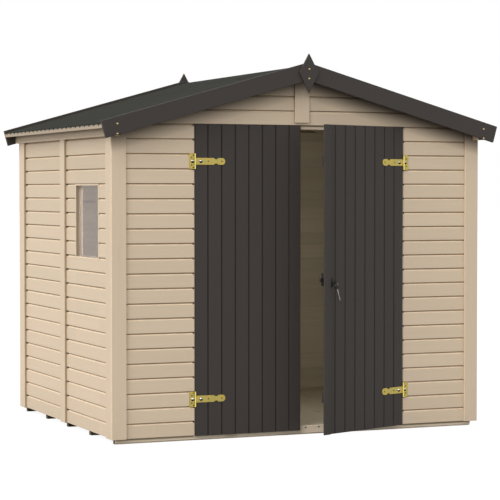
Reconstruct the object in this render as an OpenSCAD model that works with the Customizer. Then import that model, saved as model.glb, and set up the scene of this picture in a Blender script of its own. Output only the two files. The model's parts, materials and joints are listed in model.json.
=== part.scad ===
// Apex garden shed: a shiplap panel building on bearers, with a felted pitched roof,
// a pair of boarded doors on strap hinges and one fixed window.
// Millimetres. X runs along the front, Y into the depth (front at minus Y), Z up.
// The origin is on the ground, at the centre of the middle bearer's underside.

/* [Building] */
// Width over the corner boards
shed_w = 2400; // [2200:10:2700]
// Depth over the corner boards
shed_d = 1885; // [1700:5:2200]
// Ground to the lower edge of the cladding
wall_lift = 30; // [22:1:36]
// Height of the side walls' cladding
wall_h = 1747; // [1720:1:1760]
// Thickness of the cladding boards
clad_t = 12; // [9:1:15]
// Thickness of the corner boards and cover strips
trim_t = 14; // [11:1:18]
// Width of the corner boards on the front and rear
corner_end_w = 90; // [60:1:120]
// Width of the corner boards on the sides
corner_side_w = 96; // [60:1:120]
// Width of the strips that cover the panel joints
strip_w = 94; // [60:1:120]
// Depth of the wall framing, inwards
stud_d = 28; // [24:1:55]
// Face width of the wall framing
stud_w = 28; // [24:1:50]
// Gap between the framing of two panels that meet
panel_gap = 4; // [2:1:8]

/* [Base] */
// Pairs of bearers on either side of the middle one
bearer_pairs = 2; // [1:1:3]
// Width of a bearer
bearer_w = 34; // [28:1:60]
// Height of a bearer
bearer_h = 38; // [34:1:46]
// Thickness of the floor
floor_t = 14; // [10:1:20]
// Gap between the edge of the base and the back of the cladding
base_in = 6; // [1:0.5:8]
// Height of the threshold board along the front
sill_h = 44; // [30:1:50]
// Thickness of the threshold board
sill_t = 8; // [6:1:18]

/* [Roof] */
// Slope of the roof, in degrees
roof_pitch = 15.7; // [14.8:0.1:17]
// Thickness of the roof boards
deck_t = 12; // [9:1:18]
// Thickness of the felt
felt_t = 3; // [2:0.5:4]
// Bed of adhesive under the felt
felt_bed = 0.1; // [0.05:0.05:0.5]
// Felt beyond the eaves batten
felt_drip = 4; // [2:0.5:6]
// Roof boards beyond the corner boards, at the eaves
eaves_out = 68; // [50:1:90]
// Roof beyond the corner boards, at the front
front_out = 67; // [40:1:90]
// Roof beyond the corner boards, at the rear
rear_out = 51; // [20:1:60]
// Width of the rails that carry the eaves
rail_w = 47; // [44:1:56]
// Height of the eaves rails' outer faces
rail_h = 73; // [68:1:80]
// Eaves rails beyond the corner boards
rail_proud = 10; // [4:1:14]
// Height of the batten along the eaves
batten_h = 25; // [20:1:30]
// Thickness of the batten along the eaves
batten_t = 12; // [9:1:16]
// Width of the ridge beam and purlins
beam_w = 44; // [34:1:60]
// Depth of the ridge beam and purlins
beam_h = 90; // [60:1:110]
// Height of the gable rafters, square to the slope
rafter_h = 44; // [36:1:46]
// Height of a bargeboard, square to the slope
barge_h = 102; // [85:1:120]
// Thickness of a bargeboard
barge_t = 18; // [14:1:24]
// Bargeboards above the roof boards, square to the slope
barge_lip = 18; // [10:1:24]
// Bargeboards beyond the eaves batten
barge_out = 8; // [4:1:20]
// Width of the diamond finial
finial_w = 122; // [90:1:150]
// Finial above its widest point
finial_up = 111; // [80:1:130]
// Finial below its widest point
finial_down = 124; // [90:1:150]
// Widest point of the finial below the bargeboards' peak
finial_drop = 59; // [40:1:75]
// Thickness of the finial
finial_t = 15; // [10:1:20]

/* [Doorway] */
// Width between the front walls
doorway_w = 1373; // [1200:1:1450]
// Lower edge of the cladding up to the gable over the doors
head_h = 1829; // [1818:1:1830]
// Front cover strip above the gable's lower edge
strip_up = 9; // [4:1:20]
// Depth of the head rail below the gable's cladding
head_drop = 30; // [20:1:30]
// Height of the head rail
head_rail_h = 44; // [40:1:50]
// Gap at the hinge edge of each door
door_gap = 5; // [5:0.5:7]
// Gap between the two doors
meeting_gap = 13; // [11:0.5:16]
// Gap over the doors
head_gap = 7; // [5:0.5:10]
// Ground to the underside of the doors
door_lift = 28; // [20:1:36]
// Thickness of the door boards
leaf_t = 12; // [9:0.5:14]
// Door faces in front of the cladding's face
leaf_proud = 5; // [5:0.5:7]
// How far the right door stands ajar, in degrees
ajar_deg = 21; // [0:1:90]
// Height of the ledges across the back of a door
ledge_h = 62; // [40:1:95]
// Thickness of the ledges and braces
ledge_t = 27; // [18:1:32]
// Ledges short of the hinge edge
ledge_in = 15; // [10:1:60]
// Middle ledge of the left door short of its free edge
keep_room = 30; // [20:1:60]
// Width of a brace, along its level cut
brace_w = 80; // [50:1:100]
// Saw gap at the ends of a brace
brace_gap = 1; // [1:0.5:3]
// Width of the strip that covers the gap between the doors
cover_w = 53; // [44:1:60]
// Part of that strip beyond the right door's edge
cover_over = 31; // [20:1:36]
// Thickness of that strip
cover_t = 15; // [12:1:20]
// Relief behind the part that overlaps the left door
cover_relief = 5.5; // [5:0.5:8]

/* [Hinges] */
// Hinge centres from the top and bottom of a door
hinge_in = 217; // [150:1:300]
// Thickness of the hinge metal
hinge_t = 3; // [2:0.5:3]
// Width of the plate on the wall, from the pin
plate_w = 30; // [26:1:40]
// Height of the plate on the wall
plate_h = 90; // [80:1:110]
// Radius of the hinge barrel
barrel_r = 5; // [4.5:0.1:5.2]
// Radius of the hinge pin
pin_r = 2.5; // [2:0.1:3]
// Running clearance round the pin
pin_clear = 0.05; // [0.02:0.01:0.1]
// Height of the strap's own knuckle
knuckle_h = 38; // [30:1:44]
// Clearance between knuckles
knuckle_gap = 0.5; // [0.3:0.1:1]
// Barrel clear of the door's face
barrel_clear = 0.5; // [0.3:0.1:0.8]
// Length of the strap from the pin
strap_l = 190; // [175:1:230]
// Width of the strap
strap_w = 40; // [36:1:46]
// Width of the strap's neck
neck_w = 19; // [16:1:26]
// Place of the neck along the strap
neck_at = 134; // [120:1:140]
// Radius of the scallops that form the neck
neck_r = 16; // [12:0.5:18]
// Radius of the round end
penny_r = 19.5; // [18:0.5:22]

/* [Lock] */
// Height of the lock above the ground
lock_z = 940; // [850:5:1050]
// Length of the lock case
lock_w = 90; // [70:1:120]
// Height of the lock case
lock_h = 78; // [60:1:95]
// Thickness of the lock case
lock_t = 32; // [20:1:36]
// Bolt beyond the door's edge
bolt_out = 24; // [6:0.5:26]
// Height of the bolt
bolt_h = 28; // [16:1:34]
// Thickness of the bolt
bolt_t = 12; // [8:1:14]
// Gap between the cover strip and the escutcheon
oval_gap = 9; // [1:0.5:20]
// Keyhole below the middle of the lock case
key_drop = 18; // [0:1:24]
// Width of the escutcheon
plate_oval_w = 34; // [26:1:36]
// Height of the escutcheon
plate_oval_h = 53; // [44:1:64]
// Thickness of the escutcheon
plate_oval_t = 5; // [3:0.5:7]
// Radius of the lock cylinder
cylinder_r = 10; // [8:0.5:11]
// Cylinder beyond the escutcheon
cylinder_out = 6; // [3:0.5:9]
// Thickness of a key
key_t = 2.4; // [2:0.1:3]
// Radius of a key's bow
bow_r = 11; // [9:0.5:13]
// Length of the key's shank outside the lock
shank_l = 15; // [6:0.5:20]
// Length of the hanging key's blade
blade_l = 72; // [40:1:80]
// Lean of the hanging key towards the hinges, in degrees
key_lean = 20; // [0:1:30]
// Width of a key's blade
blade_w = 8; // [6:0.5:9]
// Mean radius of the key ring
ring_r = 10; // [9:0.5:12]
// Radius of the key ring's wire
wire_r = 1.2; // [1:0.1:1.5]

/* [Window] */
// Width of the window
window_w = 440; // [350:1:500]
// Height of the window
window_h = 447; // [350:1:520]
// Lower edge of the cladding up to the window
window_up = 1027; // [950:1:1100]
// Front corner boards' face back to the window
window_in = 270; // [220:1:320]
// Thickness of the window's lining boards
lining_t = 10; // [8:1:16]
// Lining beyond the cladding's face
lining_proud = 2; // [1:0.5:8]
// Thickness of the pane
pane_t = 4; // [3:0.5:6]
// Pane behind the cladding's face
pane_in = 19; // [6:0.5:30]

/* [Hidden] */
$fn = 64;

// Finishes
cream = [0.80, 0.72, 0.60];
pale_timber = [0.72, 0.60, 0.44];
charcoal = [0.26, 0.24, 0.23];
felt_grey = [0.28, 0.29, 0.27];
bare_timber = [0.62, 0.52, 0.38];
gilt = [0.80, 0.70, 0.32];
black = [0.08, 0.08, 0.08];
silver = [0.75, 0.75, 0.76];
glazing = [0.60, 0.57, 0.54, 0.5];

// Plan of the walls, from the centre out
half_w = shed_w / 2;
half_d = shed_d / 2;
clad_x = half_w - trim_t;
clad_y = half_d - trim_t;
clad_in_x = clad_x - clad_t;
clad_in_y = clad_y - clad_t;
room_x = clad_in_x - stud_d;
room_y = clad_in_y - stud_d;
door_x = doorway_w / 2;

// Heights
floor_z = bearer_h + floor_t;
wall_top = wall_lift + wall_h;
head_z = wall_lift + head_h;
head_rail_z = head_z - head_drop;

// Base
base_x = clad_in_x - base_in;
base_y = clad_in_y - base_in;
sill_back = base_y - sill_t;
bearer_step = (sill_back - bearer_w / 2) / bearer_pairs;

// Roof
rise = tan(roof_pitch);
rail_x = half_w + rail_proud;
rail_in_x = rail_x - rail_w;
deck_x = half_w + eaves_out;
batten_x = deck_x + batten_t;
felt_x = batten_x + felt_drip;
barge_x = batten_x + barge_out;
roof_front = -half_d - front_out;
roof_rear = half_d + rear_out;
deck_v = deck_t / cos(roof_pitch);
felt_v = felt_t / cos(roof_pitch);
rafter_v = rafter_h / cos(roof_pitch);
peak_z = roof_under(0) + deck_v + barge_lip / cos(roof_pitch);
purlin_x = rail_in_x / 2;

// Doors and hinges
leaf_hinge_x = -door_x + door_gap;
leaf_free_x = -meeting_gap / 2;
leaf_face_y = -clad_y - leaf_proud;
leaf_back_y = leaf_face_y + leaf_t;
leaf_top = head_z - head_gap;
hinge_x = door_x - door_gap / 2;
hinge_y = leaf_face_y - barrel_r - barrel_clear;
hinge_low_z = door_lift + hinge_in;
hinge_high_z = leaf_top - hinge_in;
key_x = -leaf_free_x + cover_w - cover_over + oval_gap + plate_oval_w / 2;
key_z = lock_z - key_drop;

// Window, on the left wall
window_y = -half_d + window_in;
window_z = wall_lift + window_up;

// Underside of the roof boards at a distance from the ridge
function roof_under(x) = wall_top + rail_h + rise * (rail_x - abs(x));

// How far out a level timber with its top at a height may run under the gable rafters
function under_rafter_x(z) = rail_x - (z + rafter_v - wall_top - rail_h) / rise - panel_gap;

// A box between two opposite corners
module block(low, high) {
    translate(low)
        cube(high - low);
}

// A profile drawn in X and Z, run along Y between two places
module run(y0, y1) {
    translate([0, y1, 0])
        rotate([90, 0, 0])
            linear_extrude(y1 - y0)
                children();
}

// A shape and its mirror image across the middle of the shed
module both_sides() {
    children();
    mirror([1, 0, 0])
        children();
}

// The right door's pieces, drawn shut, swung to where it stands
module ajar() {
    translate([hinge_x, hinge_y, 0])
        rotate([0, 0, ajar_deg])
            translate([-hinge_x, -hinge_y, 0])
                children();
}

// Base
module floor_bearers() {
    color(bare_timber)
        for (i = [-bearer_pairs : bearer_pairs])
            block([-base_x, i * bearer_step - bearer_w / 2, 0],
                  [base_x, i * bearer_step + bearer_w / 2, bearer_h]);
}

module floor_deck() {
    color(bare_timber)
        block([-base_x, -sill_back, bearer_h], [base_x, base_y, floor_z]);
}

module door_threshold() {
    color(bare_timber)
        block([-base_x, -base_y, floor_z - sill_h], [base_x, -sill_back, floor_z]);
}

// Walls
module end_wall_panel(x0, top) {
    polygon([[x0, wall_lift], [clad_x, wall_lift], [clad_x, wall_top],
             [rail_in_x, wall_top], [rail_in_x, top], [x0, top]]);
}

module gable_panel() {
    polygon([[-rail_in_x, head_z], [rail_in_x, head_z], [rail_in_x, roof_under(rail_in_x)],
             [0, roof_under(0)], [-rail_in_x, roof_under(rail_in_x)]]);
}

module front_wall_right() {
    color(cream)
        run(-clad_y, -clad_in_y)
            end_wall_panel(door_x, head_z);
}

module front_wall_left() {
    mirror([1, 0, 0])
        front_wall_right();
}

module front_gable() {
    color(cream)
        run(-clad_y, -clad_in_y)
            gable_panel();
}

module rear_wall_right() {
    color(cream)
        run(clad_in_y, clad_y)
            end_wall_panel(0, head_z);
}

module rear_wall_left() {
    mirror([1, 0, 0])
        rear_wall_right();
}

module rear_gable() {
    color(cream)
        run(clad_in_y, clad_y)
            gable_panel();
}

module right_wall_front() {
    color(cream)
        block([clad_in_x, -clad_in_y, wall_lift], [clad_x, 0, wall_top]);
}

module right_wall_rear() {
    color(cream)
        block([clad_in_x, 0, wall_lift], [clad_x, clad_in_y, wall_top]);
}

module left_wall_rear() {
    mirror([1, 0, 0])
        right_wall_rear();
}

module left_wall_front() {
    difference() {
        mirror([1, 0, 0])
            right_wall_front();
        block([-half_w, window_y, window_z],
              [-room_x, window_y + window_w, window_z + window_h]);
    }
}

// Framing
module side_rail(y0, y1, z0) {
    block([clad_in_x - stud_d, y0, z0], [clad_in_x, y1, z0 + stud_w]);
}

module side_wall_rails() {
    color(pale_timber) {
        both_sides()
            for (z0 = [floor_z, wall_top - stud_w]) {
                side_rail(-room_y, -panel_gap / 2, z0);
                side_rail(panel_gap / 2, room_y, z0);
            }
        mirror([1, 0, 0])
            for (z0 = [window_z - stud_w, window_z + window_h])
                side_rail(window_y, window_y + window_w, z0);
    }
}

module end_rails(z0, x1) {
    block([door_x, -clad_in_y, z0], [x1, -room_y, z0 + stud_w]);
    block([panel_gap / 2, room_y, z0], [x1, clad_in_y, z0 + stud_w]);
}

module end_wall_rails() {
    color(pale_timber)
        both_sides() {
            end_rails(floor_z, room_x);
            end_rails(head_rail_z - stud_w, min(room_x, under_rafter_x(head_rail_z)));
        }
}

module end_stud(x0, y0) {
    block([x0, y0, floor_z + stud_w], [x0 + stud_w, y0 + stud_d, head_rail_z - stud_w]);
}

module side_stud(y0) {
    block([clad_in_x - stud_d, y0, floor_z + stud_w], [clad_in_x, y0 + stud_w, wall_top - stud_w]);
}

module wall_studs() {
    mid_y = (room_y - stud_w) / 2;
    color(pale_timber) {
        both_sides() {
            for (x0 = [door_x, room_x - stud_w])
                end_stud(x0, -clad_in_y);
            for (x0 = [panel_gap / 2, (room_x - stud_w) / 2, room_x - stud_w])
                end_stud(x0, room_y);
            for (y0 = [-room_y, -panel_gap / 2 - stud_w, panel_gap / 2, mid_y, room_y - stud_w])
                side_stud(y0);
        }
        side_stud(-mid_y - stud_w);
        mirror([1, 0, 0])
            for (y0 = [window_y - stud_w, window_y + window_w])
                side_stud(y0);
    }
}

// Head rail and rafters behind one gable's cladding
module gable_frame(y0) {
    head_end = under_rafter_x(head_rail_z + head_rail_h);
    run(y0, y0 + stud_d) {
        translate([-head_end, head_rail_z])
            square([2 * head_end, head_rail_h]);
        both_sides()
            polygon([[beam_w / 2, roof_under(beam_w / 2)], [rail_in_x, roof_under(rail_in_x)],
                     [rail_in_x, roof_under(rail_in_x) - rafter_v],
                     [beam_w / 2, roof_under(beam_w / 2) - rafter_v]]);
    }
}

module gable_frames() {
    color(pale_timber) {
        gable_frame(-clad_in_y);
        gable_frame(room_y);
    }
}

// Corner boards and cover strips
module end_corner_board(y0) {
    inner_x = half_w - corner_end_w;
    run(y0, y0 + trim_t)
        both_sides()
            polygon([[inner_x, wall_lift], [half_w, wall_lift], [half_w, wall_top],
                     [rail_in_x, wall_top], [rail_in_x, roof_under(rail_in_x)],
                     [inner_x, roof_under(inner_x)]]);
}

module end_corner_boards() {
    color(cream) {
        end_corner_board(-half_d);
        end_corner_board(clad_y);
    }
}

module side_corner_boards() {
    color(cream)
        both_sides()
            for (y0 = [-clad_y, clad_y - corner_side_w])
                block([clad_x, y0, wall_lift], [half_w, y0 + corner_side_w, wall_top]);
}

module side_cover_strips() {
    color(cream)
        both_sides()
            block([clad_x, -strip_w / 2, wall_lift], [half_w, strip_w / 2, wall_top]);
}

module end_cover_strip(z0, y0) {
    half = strip_w / 2;
    run(y0, y0 + trim_t)
        polygon([[-half, z0], [half, z0], [half, roof_under(half)], [0, roof_under(0)],
                 [-half, roof_under(half)]]);
}

module end_cover_strips() {
    color(cream) {
        end_cover_strip(head_z + strip_up, -half_d);
        end_cover_strip(wall_lift, clad_y);
    }
}

// Window
module window_ring(x0, x1, thick) {
    difference() {
        block([x0, window_y, window_z], [x1, window_y + window_w, window_z + window_h]);
        block([x0 - 1, window_y + thick, window_z + thick],
              [x1 + 1, window_y + window_w - thick, window_z + window_h - thick]);
    }
}

module window_lining() {
    color(cream)
        window_ring(-clad_x - lining_proud, -room_x, lining_t);
}

module window_pane() {
    x0 = -clad_x + pane_in;
    color(glazing)
        block([x0, window_y + lining_t, window_z + lining_t],
              [x0 + pane_t, window_y + window_w - lining_t, window_z + window_h - lining_t]);
}

// Roof
module eaves_rails() {
    color(pale_timber)
        run(roof_front, roof_rear)
            both_sides()
                polygon([[rail_in_x, wall_top], [rail_x, wall_top], [rail_x, roof_under(rail_x)],
                         [rail_in_x, roof_under(rail_in_x)]]);
}

module roof_beams() {
    half = beam_w / 2;
    color(pale_timber) {
        run(-clad_in_y, clad_in_y)
            polygon([[-half, roof_under(half) - beam_h], [half, roof_under(half) - beam_h],
                     [half, roof_under(half)], [0, roof_under(0)], [-half, roof_under(half)]]);
        run(-room_y, room_y)
            both_sides()
                translate([purlin_x, roof_under(purlin_x)])
                    rotate(-roof_pitch)
                        translate([-half, -beam_h])
                            square([beam_w, beam_h]);
    }
}

// One slope of the roof between two heights above the underside, out to a place on the eaves
module slope(x1, low, high) {
    polygon([[0, roof_under(0) + low], [x1, roof_under(x1) + low],
             [x1, roof_under(x1) + high], [0, roof_under(0) + high]]);
}

module right_roof_deck() {
    color(bare_timber)
        run(roof_front, roof_rear)
            slope(deck_x, 0, deck_v);
}

module left_roof_deck() {
    mirror([1, 0, 0])
        right_roof_deck();
}

module eaves_battens() {
    low = roof_under(batten_x) + deck_v - batten_h;
    color(pale_timber)
        run(roof_front, roof_rear)
            both_sides()
                polygon([[deck_x, low], [batten_x, low], [batten_x, roof_under(batten_x) + deck_v],
                         [deck_x, roof_under(deck_x) + deck_v]]);
}

module right_roof_felt() {
    color(felt_grey)
        run(roof_front, roof_rear)
            slope(felt_x, deck_v + felt_bed, deck_v + felt_bed + felt_v);
}

module left_roof_felt() {
    mirror([1, 0, 0])
        right_roof_felt();
}

module bargeboard() {
    end_top = [barge_x, peak_z - rise * barge_x];
    end_low = end_top - barge_h * [sin(roof_pitch), cos(roof_pitch)];
    polygon([[0, peak_z], end_top, end_low, [0, peak_z - barge_h / cos(roof_pitch)]]);
}

module right_bargeboards() {
    color(charcoal) {
        run(roof_front - barge_t, roof_front)
            bargeboard();
        run(roof_rear, roof_rear + barge_t)
            bargeboard();
    }
}

module left_bargeboards() {
    mirror([1, 0, 0])
        right_bargeboards();
}

module finial(y0) {
    wide_z = peak_z - finial_drop;
    run(y0, y0 + finial_t)
        polygon([[0, wide_z + finial_up], [finial_w / 2, wide_z], [0, wide_z - finial_down],
                 [-finial_w / 2, wide_z]]);
}

module finials() {
    color(charcoal) {
        finial(roof_front - barge_t - finial_t);
        finial(roof_rear + barge_t);
    }
}

// Hinges: drawn on the left side of the doorway, about a pin at the origin
module barrel_piece(z0, z1) {
    translate([0, 0, z0])
        cylinder(r = barrel_r, h = z1 - z0);
}

module hinge_plate() {
    wall_y = -clad_y - hinge_y;
    shut_z = knuckle_h / 2 + knuckle_gap;
    half = plate_h / 2;
    block([-plate_w, wall_y - hinge_t, -half], [-door_gap / 2, wall_y, half]);
    for (z0 = [-half, shut_z]) {
        block([-barrel_r, 0, z0], [-barrel_r + hinge_t, wall_y, z0 + half - shut_z]);
        barrel_piece(z0, z0 + half - shut_z);
    }
    translate([0, 0, -half])
        cylinder(r = pin_r, h = plate_h);
}

// Outline of the strap: a bar, a scalloped neck and a round end
module strap_outline() {
    difference() {
        union() {
            translate([barrel_r + knuckle_gap, -strap_w / 2])
                square([neck_at - barrel_r - knuckle_gap, strap_w]);
            translate([0, -knuckle_h / 2])
                square([neck_at, knuckle_h]);
            translate([0, -neck_w / 2])
                square([strap_l - penny_r, neck_w]);
            translate([strap_l - penny_r, 0])
                circle(penny_r);
        }
        for (side = [-1, 1])
            translate([neck_at, side * (neck_w / 2 + neck_r)])
                circle(neck_r);
    }
}

module hinge_strap() {
    back_y = leaf_face_y - hinge_y;
    difference() {
        union() {
            run(back_y - hinge_t, back_y)
                strap_outline();
            barrel_piece(-knuckle_h / 2, knuckle_h / 2);
        }
        translate([0, 0, -knuckle_h])
            cylinder(r = pin_r + pin_clear, h = 2 * knuckle_h);
    }
}

module at_left_hinges() {
    for (z = [hinge_low_z, hinge_high_z])
        translate([-hinge_x, hinge_y, z])
            children();
}

module left_hinge_plates() {
    color(gilt)
        at_left_hinges()
            hinge_plate();
}

module right_hinge_plates() {
    mirror([1, 0, 0])
        left_hinge_plates();
}

module left_hinge_straps() {
    color(gilt)
        at_left_hinges()
            hinge_strap();
}

module right_hinge_straps() {
    ajar()
        mirror([1, 0, 0])
            left_hinge_straps();
}

// Doors: drawn shut, on the left side of the doorway
module left_door_leaf() {
    color(charcoal)
        block([leaf_hinge_x, leaf_face_y, door_lift], [leaf_free_x, leaf_back_y, leaf_top]);
}

module right_door_leaf() {
    ajar()
        mirror([1, 0, 0])
            left_door_leaf();
}

// Three ledges with a rising brace in each bay; the middle ledge stops short of the free edge
module door_ledges(middle_short) {
    start = leaf_hinge_x + ledge_in;
    levels = [hinge_low_z, lock_z, hinge_high_z];
    shorts = [0, middle_short, 0];
    run(leaf_back_y, leaf_back_y + ledge_t) {
        for (i = [0 : 2])
            translate([start, levels[i] - ledge_h / 2])
                square([leaf_free_x - shorts[i] - start, ledge_h]);
        for (i = [0 : 1]) {
            low = levels[i] + ledge_h / 2 + brace_gap;
            high = levels[i + 1] - ledge_h / 2 - brace_gap;
            end = leaf_free_x - middle_short - brace_gap;
            polygon([[start, low], [start + brace_w, low], [end, high], [end - brace_w, high]]);
        }
    }
}

module left_door_ledges() {
    color(charcoal)
        door_ledges(keep_room);
}

module right_door_ledges() {
    color(charcoal)
        ajar()
            mirror([1, 0, 0])
                door_ledges(lock_w);
}

// Strip on the right door that laps over the left one, relieved behind the lap
module door_cover_strip() {
    edge = -leaf_free_x;
    lap = edge - cover_over;
    color(charcoal)
        ajar()
            translate([0, 0, door_lift])
                linear_extrude(leaf_top - door_lift)
                    polygon([[lap + cover_w, leaf_face_y], [edge, leaf_face_y],
                             [edge, leaf_face_y - cover_relief], [lap, leaf_face_y - cover_relief],
                             [lap, leaf_face_y - cover_t], [lap + cover_w, leaf_face_y - cover_t]]);
}

// Lock
module rim_lock() {
    edge = -leaf_free_x;
    mid_y = leaf_back_y + lock_t / 2;
    color(black)
        ajar() {
            block([edge, leaf_back_y, lock_z - lock_h / 2],
                  [edge + lock_w, leaf_back_y + lock_t, lock_z + lock_h / 2]);
            block([edge - bolt_out, mid_y - bolt_t / 2, lock_z - bolt_h / 2],
                  [edge, mid_y + bolt_t / 2, lock_z + bolt_h / 2]);
        }
}

// An oval of two round ends, drawn upright
module upright_oval(width, height) {
    for (side = [-1, 1])
        translate([0, side * (height - width) / 2])
            circle(d = width);
    square([width, height - width], center = true);
}

module lock_escutcheon() {
    color(black)
        ajar()
            translate([key_x, 0, key_z]) {
                run(leaf_face_y - plate_oval_t, leaf_face_y)
                    upright_oval(plate_oval_w, plate_oval_h);
                translate([0, leaf_face_y, 0])
                    rotate([90, 0, 0])
                        cylinder(r = cylinder_r, h = plate_oval_t + cylinder_out);
            }
}

// A key lying in the YZ plane, its bow at the origin and its blade along minus Z
module key(length) {
    rotate([0, 90, 0])
        cylinder(r = bow_r, h = key_t, center = true);
    block([-key_t / 2, -blade_w / 2, -bow_r - length], [key_t / 2, blade_w / 2, 0]);
}

module door_keys() {
    face_y = leaf_face_y - plate_oval_t - cylinder_out;
    bow_y = face_y - shank_l - bow_r;
    ring_y = bow_y - bow_r + 2 * wire_r;
    ring_z = key_z - ring_r + wire_r;
    color(silver)
        ajar() {
            translate([key_x, bow_y, key_z])
                rotate([90, 0, 0])
                    key(0);
            block([key_x - key_t / 2, bow_y, key_z - blade_w / 2],
                  [key_x + key_t / 2, face_y, key_z + blade_w / 2]);
            translate([key_x, ring_y, ring_z])
                rotate([0, 90, 0])
                    rotate_extrude()
                        translate([ring_r, 0])
                            circle(wire_r, $fn = 24);
            translate([key_x, ring_y, ring_z - ring_r])
                rotate([0, -key_lean, 0])
                    translate([0, 0, 2 * wire_r - bow_r])
                        rotate([0, 0, 90])
                            key(blade_l);
        }
}

floor_bearers();
floor_deck();
door_threshold();
front_wall_left();
front_wall_right();
front_gable();
rear_wall_left();
rear_wall_right();
rear_gable();
left_wall_front();
left_wall_rear();
right_wall_front();
right_wall_rear();
side_wall_rails();
end_wall_rails();
wall_studs();
gable_frames();
end_corner_boards();
side_corner_boards();
side_cover_strips();
end_cover_strips();
window_lining();
window_pane();
eaves_rails();
roof_beams();
left_roof_deck();
right_roof_deck();
eaves_battens();
left_roof_felt();
right_roof_felt();
left_bargeboards();
right_bargeboards();
finials();
left_hinge_plates();
right_hinge_plates();
left_door_leaf();
left_door_ledges();
left_hinge_straps();
right_door_leaf();
right_door_ledges();
right_hinge_straps();
door_cover_strip();
rim_lock();
lock_escutcheon();
door_keys();
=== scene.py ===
"""Dresses the solids of an apex garden shed: shiplap, felt, glass, ironmongery and finishes."""

import json
import math
import random

import bmesh
import bpy
from mathutils import Matrix, Vector


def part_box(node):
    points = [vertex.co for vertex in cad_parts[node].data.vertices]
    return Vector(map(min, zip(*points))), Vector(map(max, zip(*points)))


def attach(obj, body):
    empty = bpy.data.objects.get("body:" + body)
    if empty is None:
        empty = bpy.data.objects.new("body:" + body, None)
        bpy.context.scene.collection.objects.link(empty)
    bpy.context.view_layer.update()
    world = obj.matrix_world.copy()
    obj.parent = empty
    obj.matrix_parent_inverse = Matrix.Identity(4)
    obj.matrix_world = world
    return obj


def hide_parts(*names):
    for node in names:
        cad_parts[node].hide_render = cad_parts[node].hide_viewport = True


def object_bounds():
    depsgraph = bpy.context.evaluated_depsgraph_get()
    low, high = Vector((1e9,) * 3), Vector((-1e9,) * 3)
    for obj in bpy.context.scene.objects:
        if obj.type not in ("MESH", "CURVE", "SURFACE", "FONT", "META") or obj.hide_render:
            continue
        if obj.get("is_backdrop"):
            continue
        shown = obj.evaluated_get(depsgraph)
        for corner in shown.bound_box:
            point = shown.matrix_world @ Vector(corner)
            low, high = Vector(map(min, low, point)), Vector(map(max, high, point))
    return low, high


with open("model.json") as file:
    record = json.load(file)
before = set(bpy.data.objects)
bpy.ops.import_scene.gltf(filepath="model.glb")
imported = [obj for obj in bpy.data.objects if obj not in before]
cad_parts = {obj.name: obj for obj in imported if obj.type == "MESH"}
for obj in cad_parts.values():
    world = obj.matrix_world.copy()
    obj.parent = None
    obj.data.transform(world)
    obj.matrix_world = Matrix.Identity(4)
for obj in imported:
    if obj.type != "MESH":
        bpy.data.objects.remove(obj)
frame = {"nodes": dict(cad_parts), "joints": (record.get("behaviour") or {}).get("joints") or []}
CAD_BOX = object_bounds()

bl_info = {
    "name": "Apex garden shed",
    "version": (1, 0, 0),
    "blender": (4, 5, 0),
    "location": "View3D > Sidebar > Shed",
    "description": "Boards, felt, glass, ironmongery and finishes on the solids of a garden shed",
    "category": "Add Mesh",
}

SHED, LEFT_DOOR, RIGHT_DOOR = "shed", "left_door", "right_door"
HINGES = {joint["child"]: joint for joint in frame["joints"]}
OUTWARD = Vector((0.0, -1.0, 0.0))
UPRIGHT = Vector((0.0, 0.0, 1.0))

# What full painted shade multiplies a colour by; its share in joints and on beads; the darkening toward the
# room.
PAINTED_SHADE_TINT = (0.48, 0.46, 0.42)
JOINT_SHADE, BEAD_SHADE, ROOM_DARKENING = 0.8, 0.22, 0.3
# Shade painted on the side walls below the eaves, as a share of full painted shade on each course from the
# top one down.
EAVES_SHADE = (0.13, 0.19, 0.11, 0.08, 0.04)


# Properties


def length(name, description, default):
    """A size in metres."""
    return bpy.props.FloatProperty(
        name=name, description=description, default=default, precision=4, subtype="DISTANCE", unit="LENGTH"
    )


def tone(name, description, default):
    """A colour in linear light."""
    return bpy.props.FloatVectorProperty(
        name=name, description=description, default=default, size=3, min=0.0, max=1.0, subtype="COLOR"
    )


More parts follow.
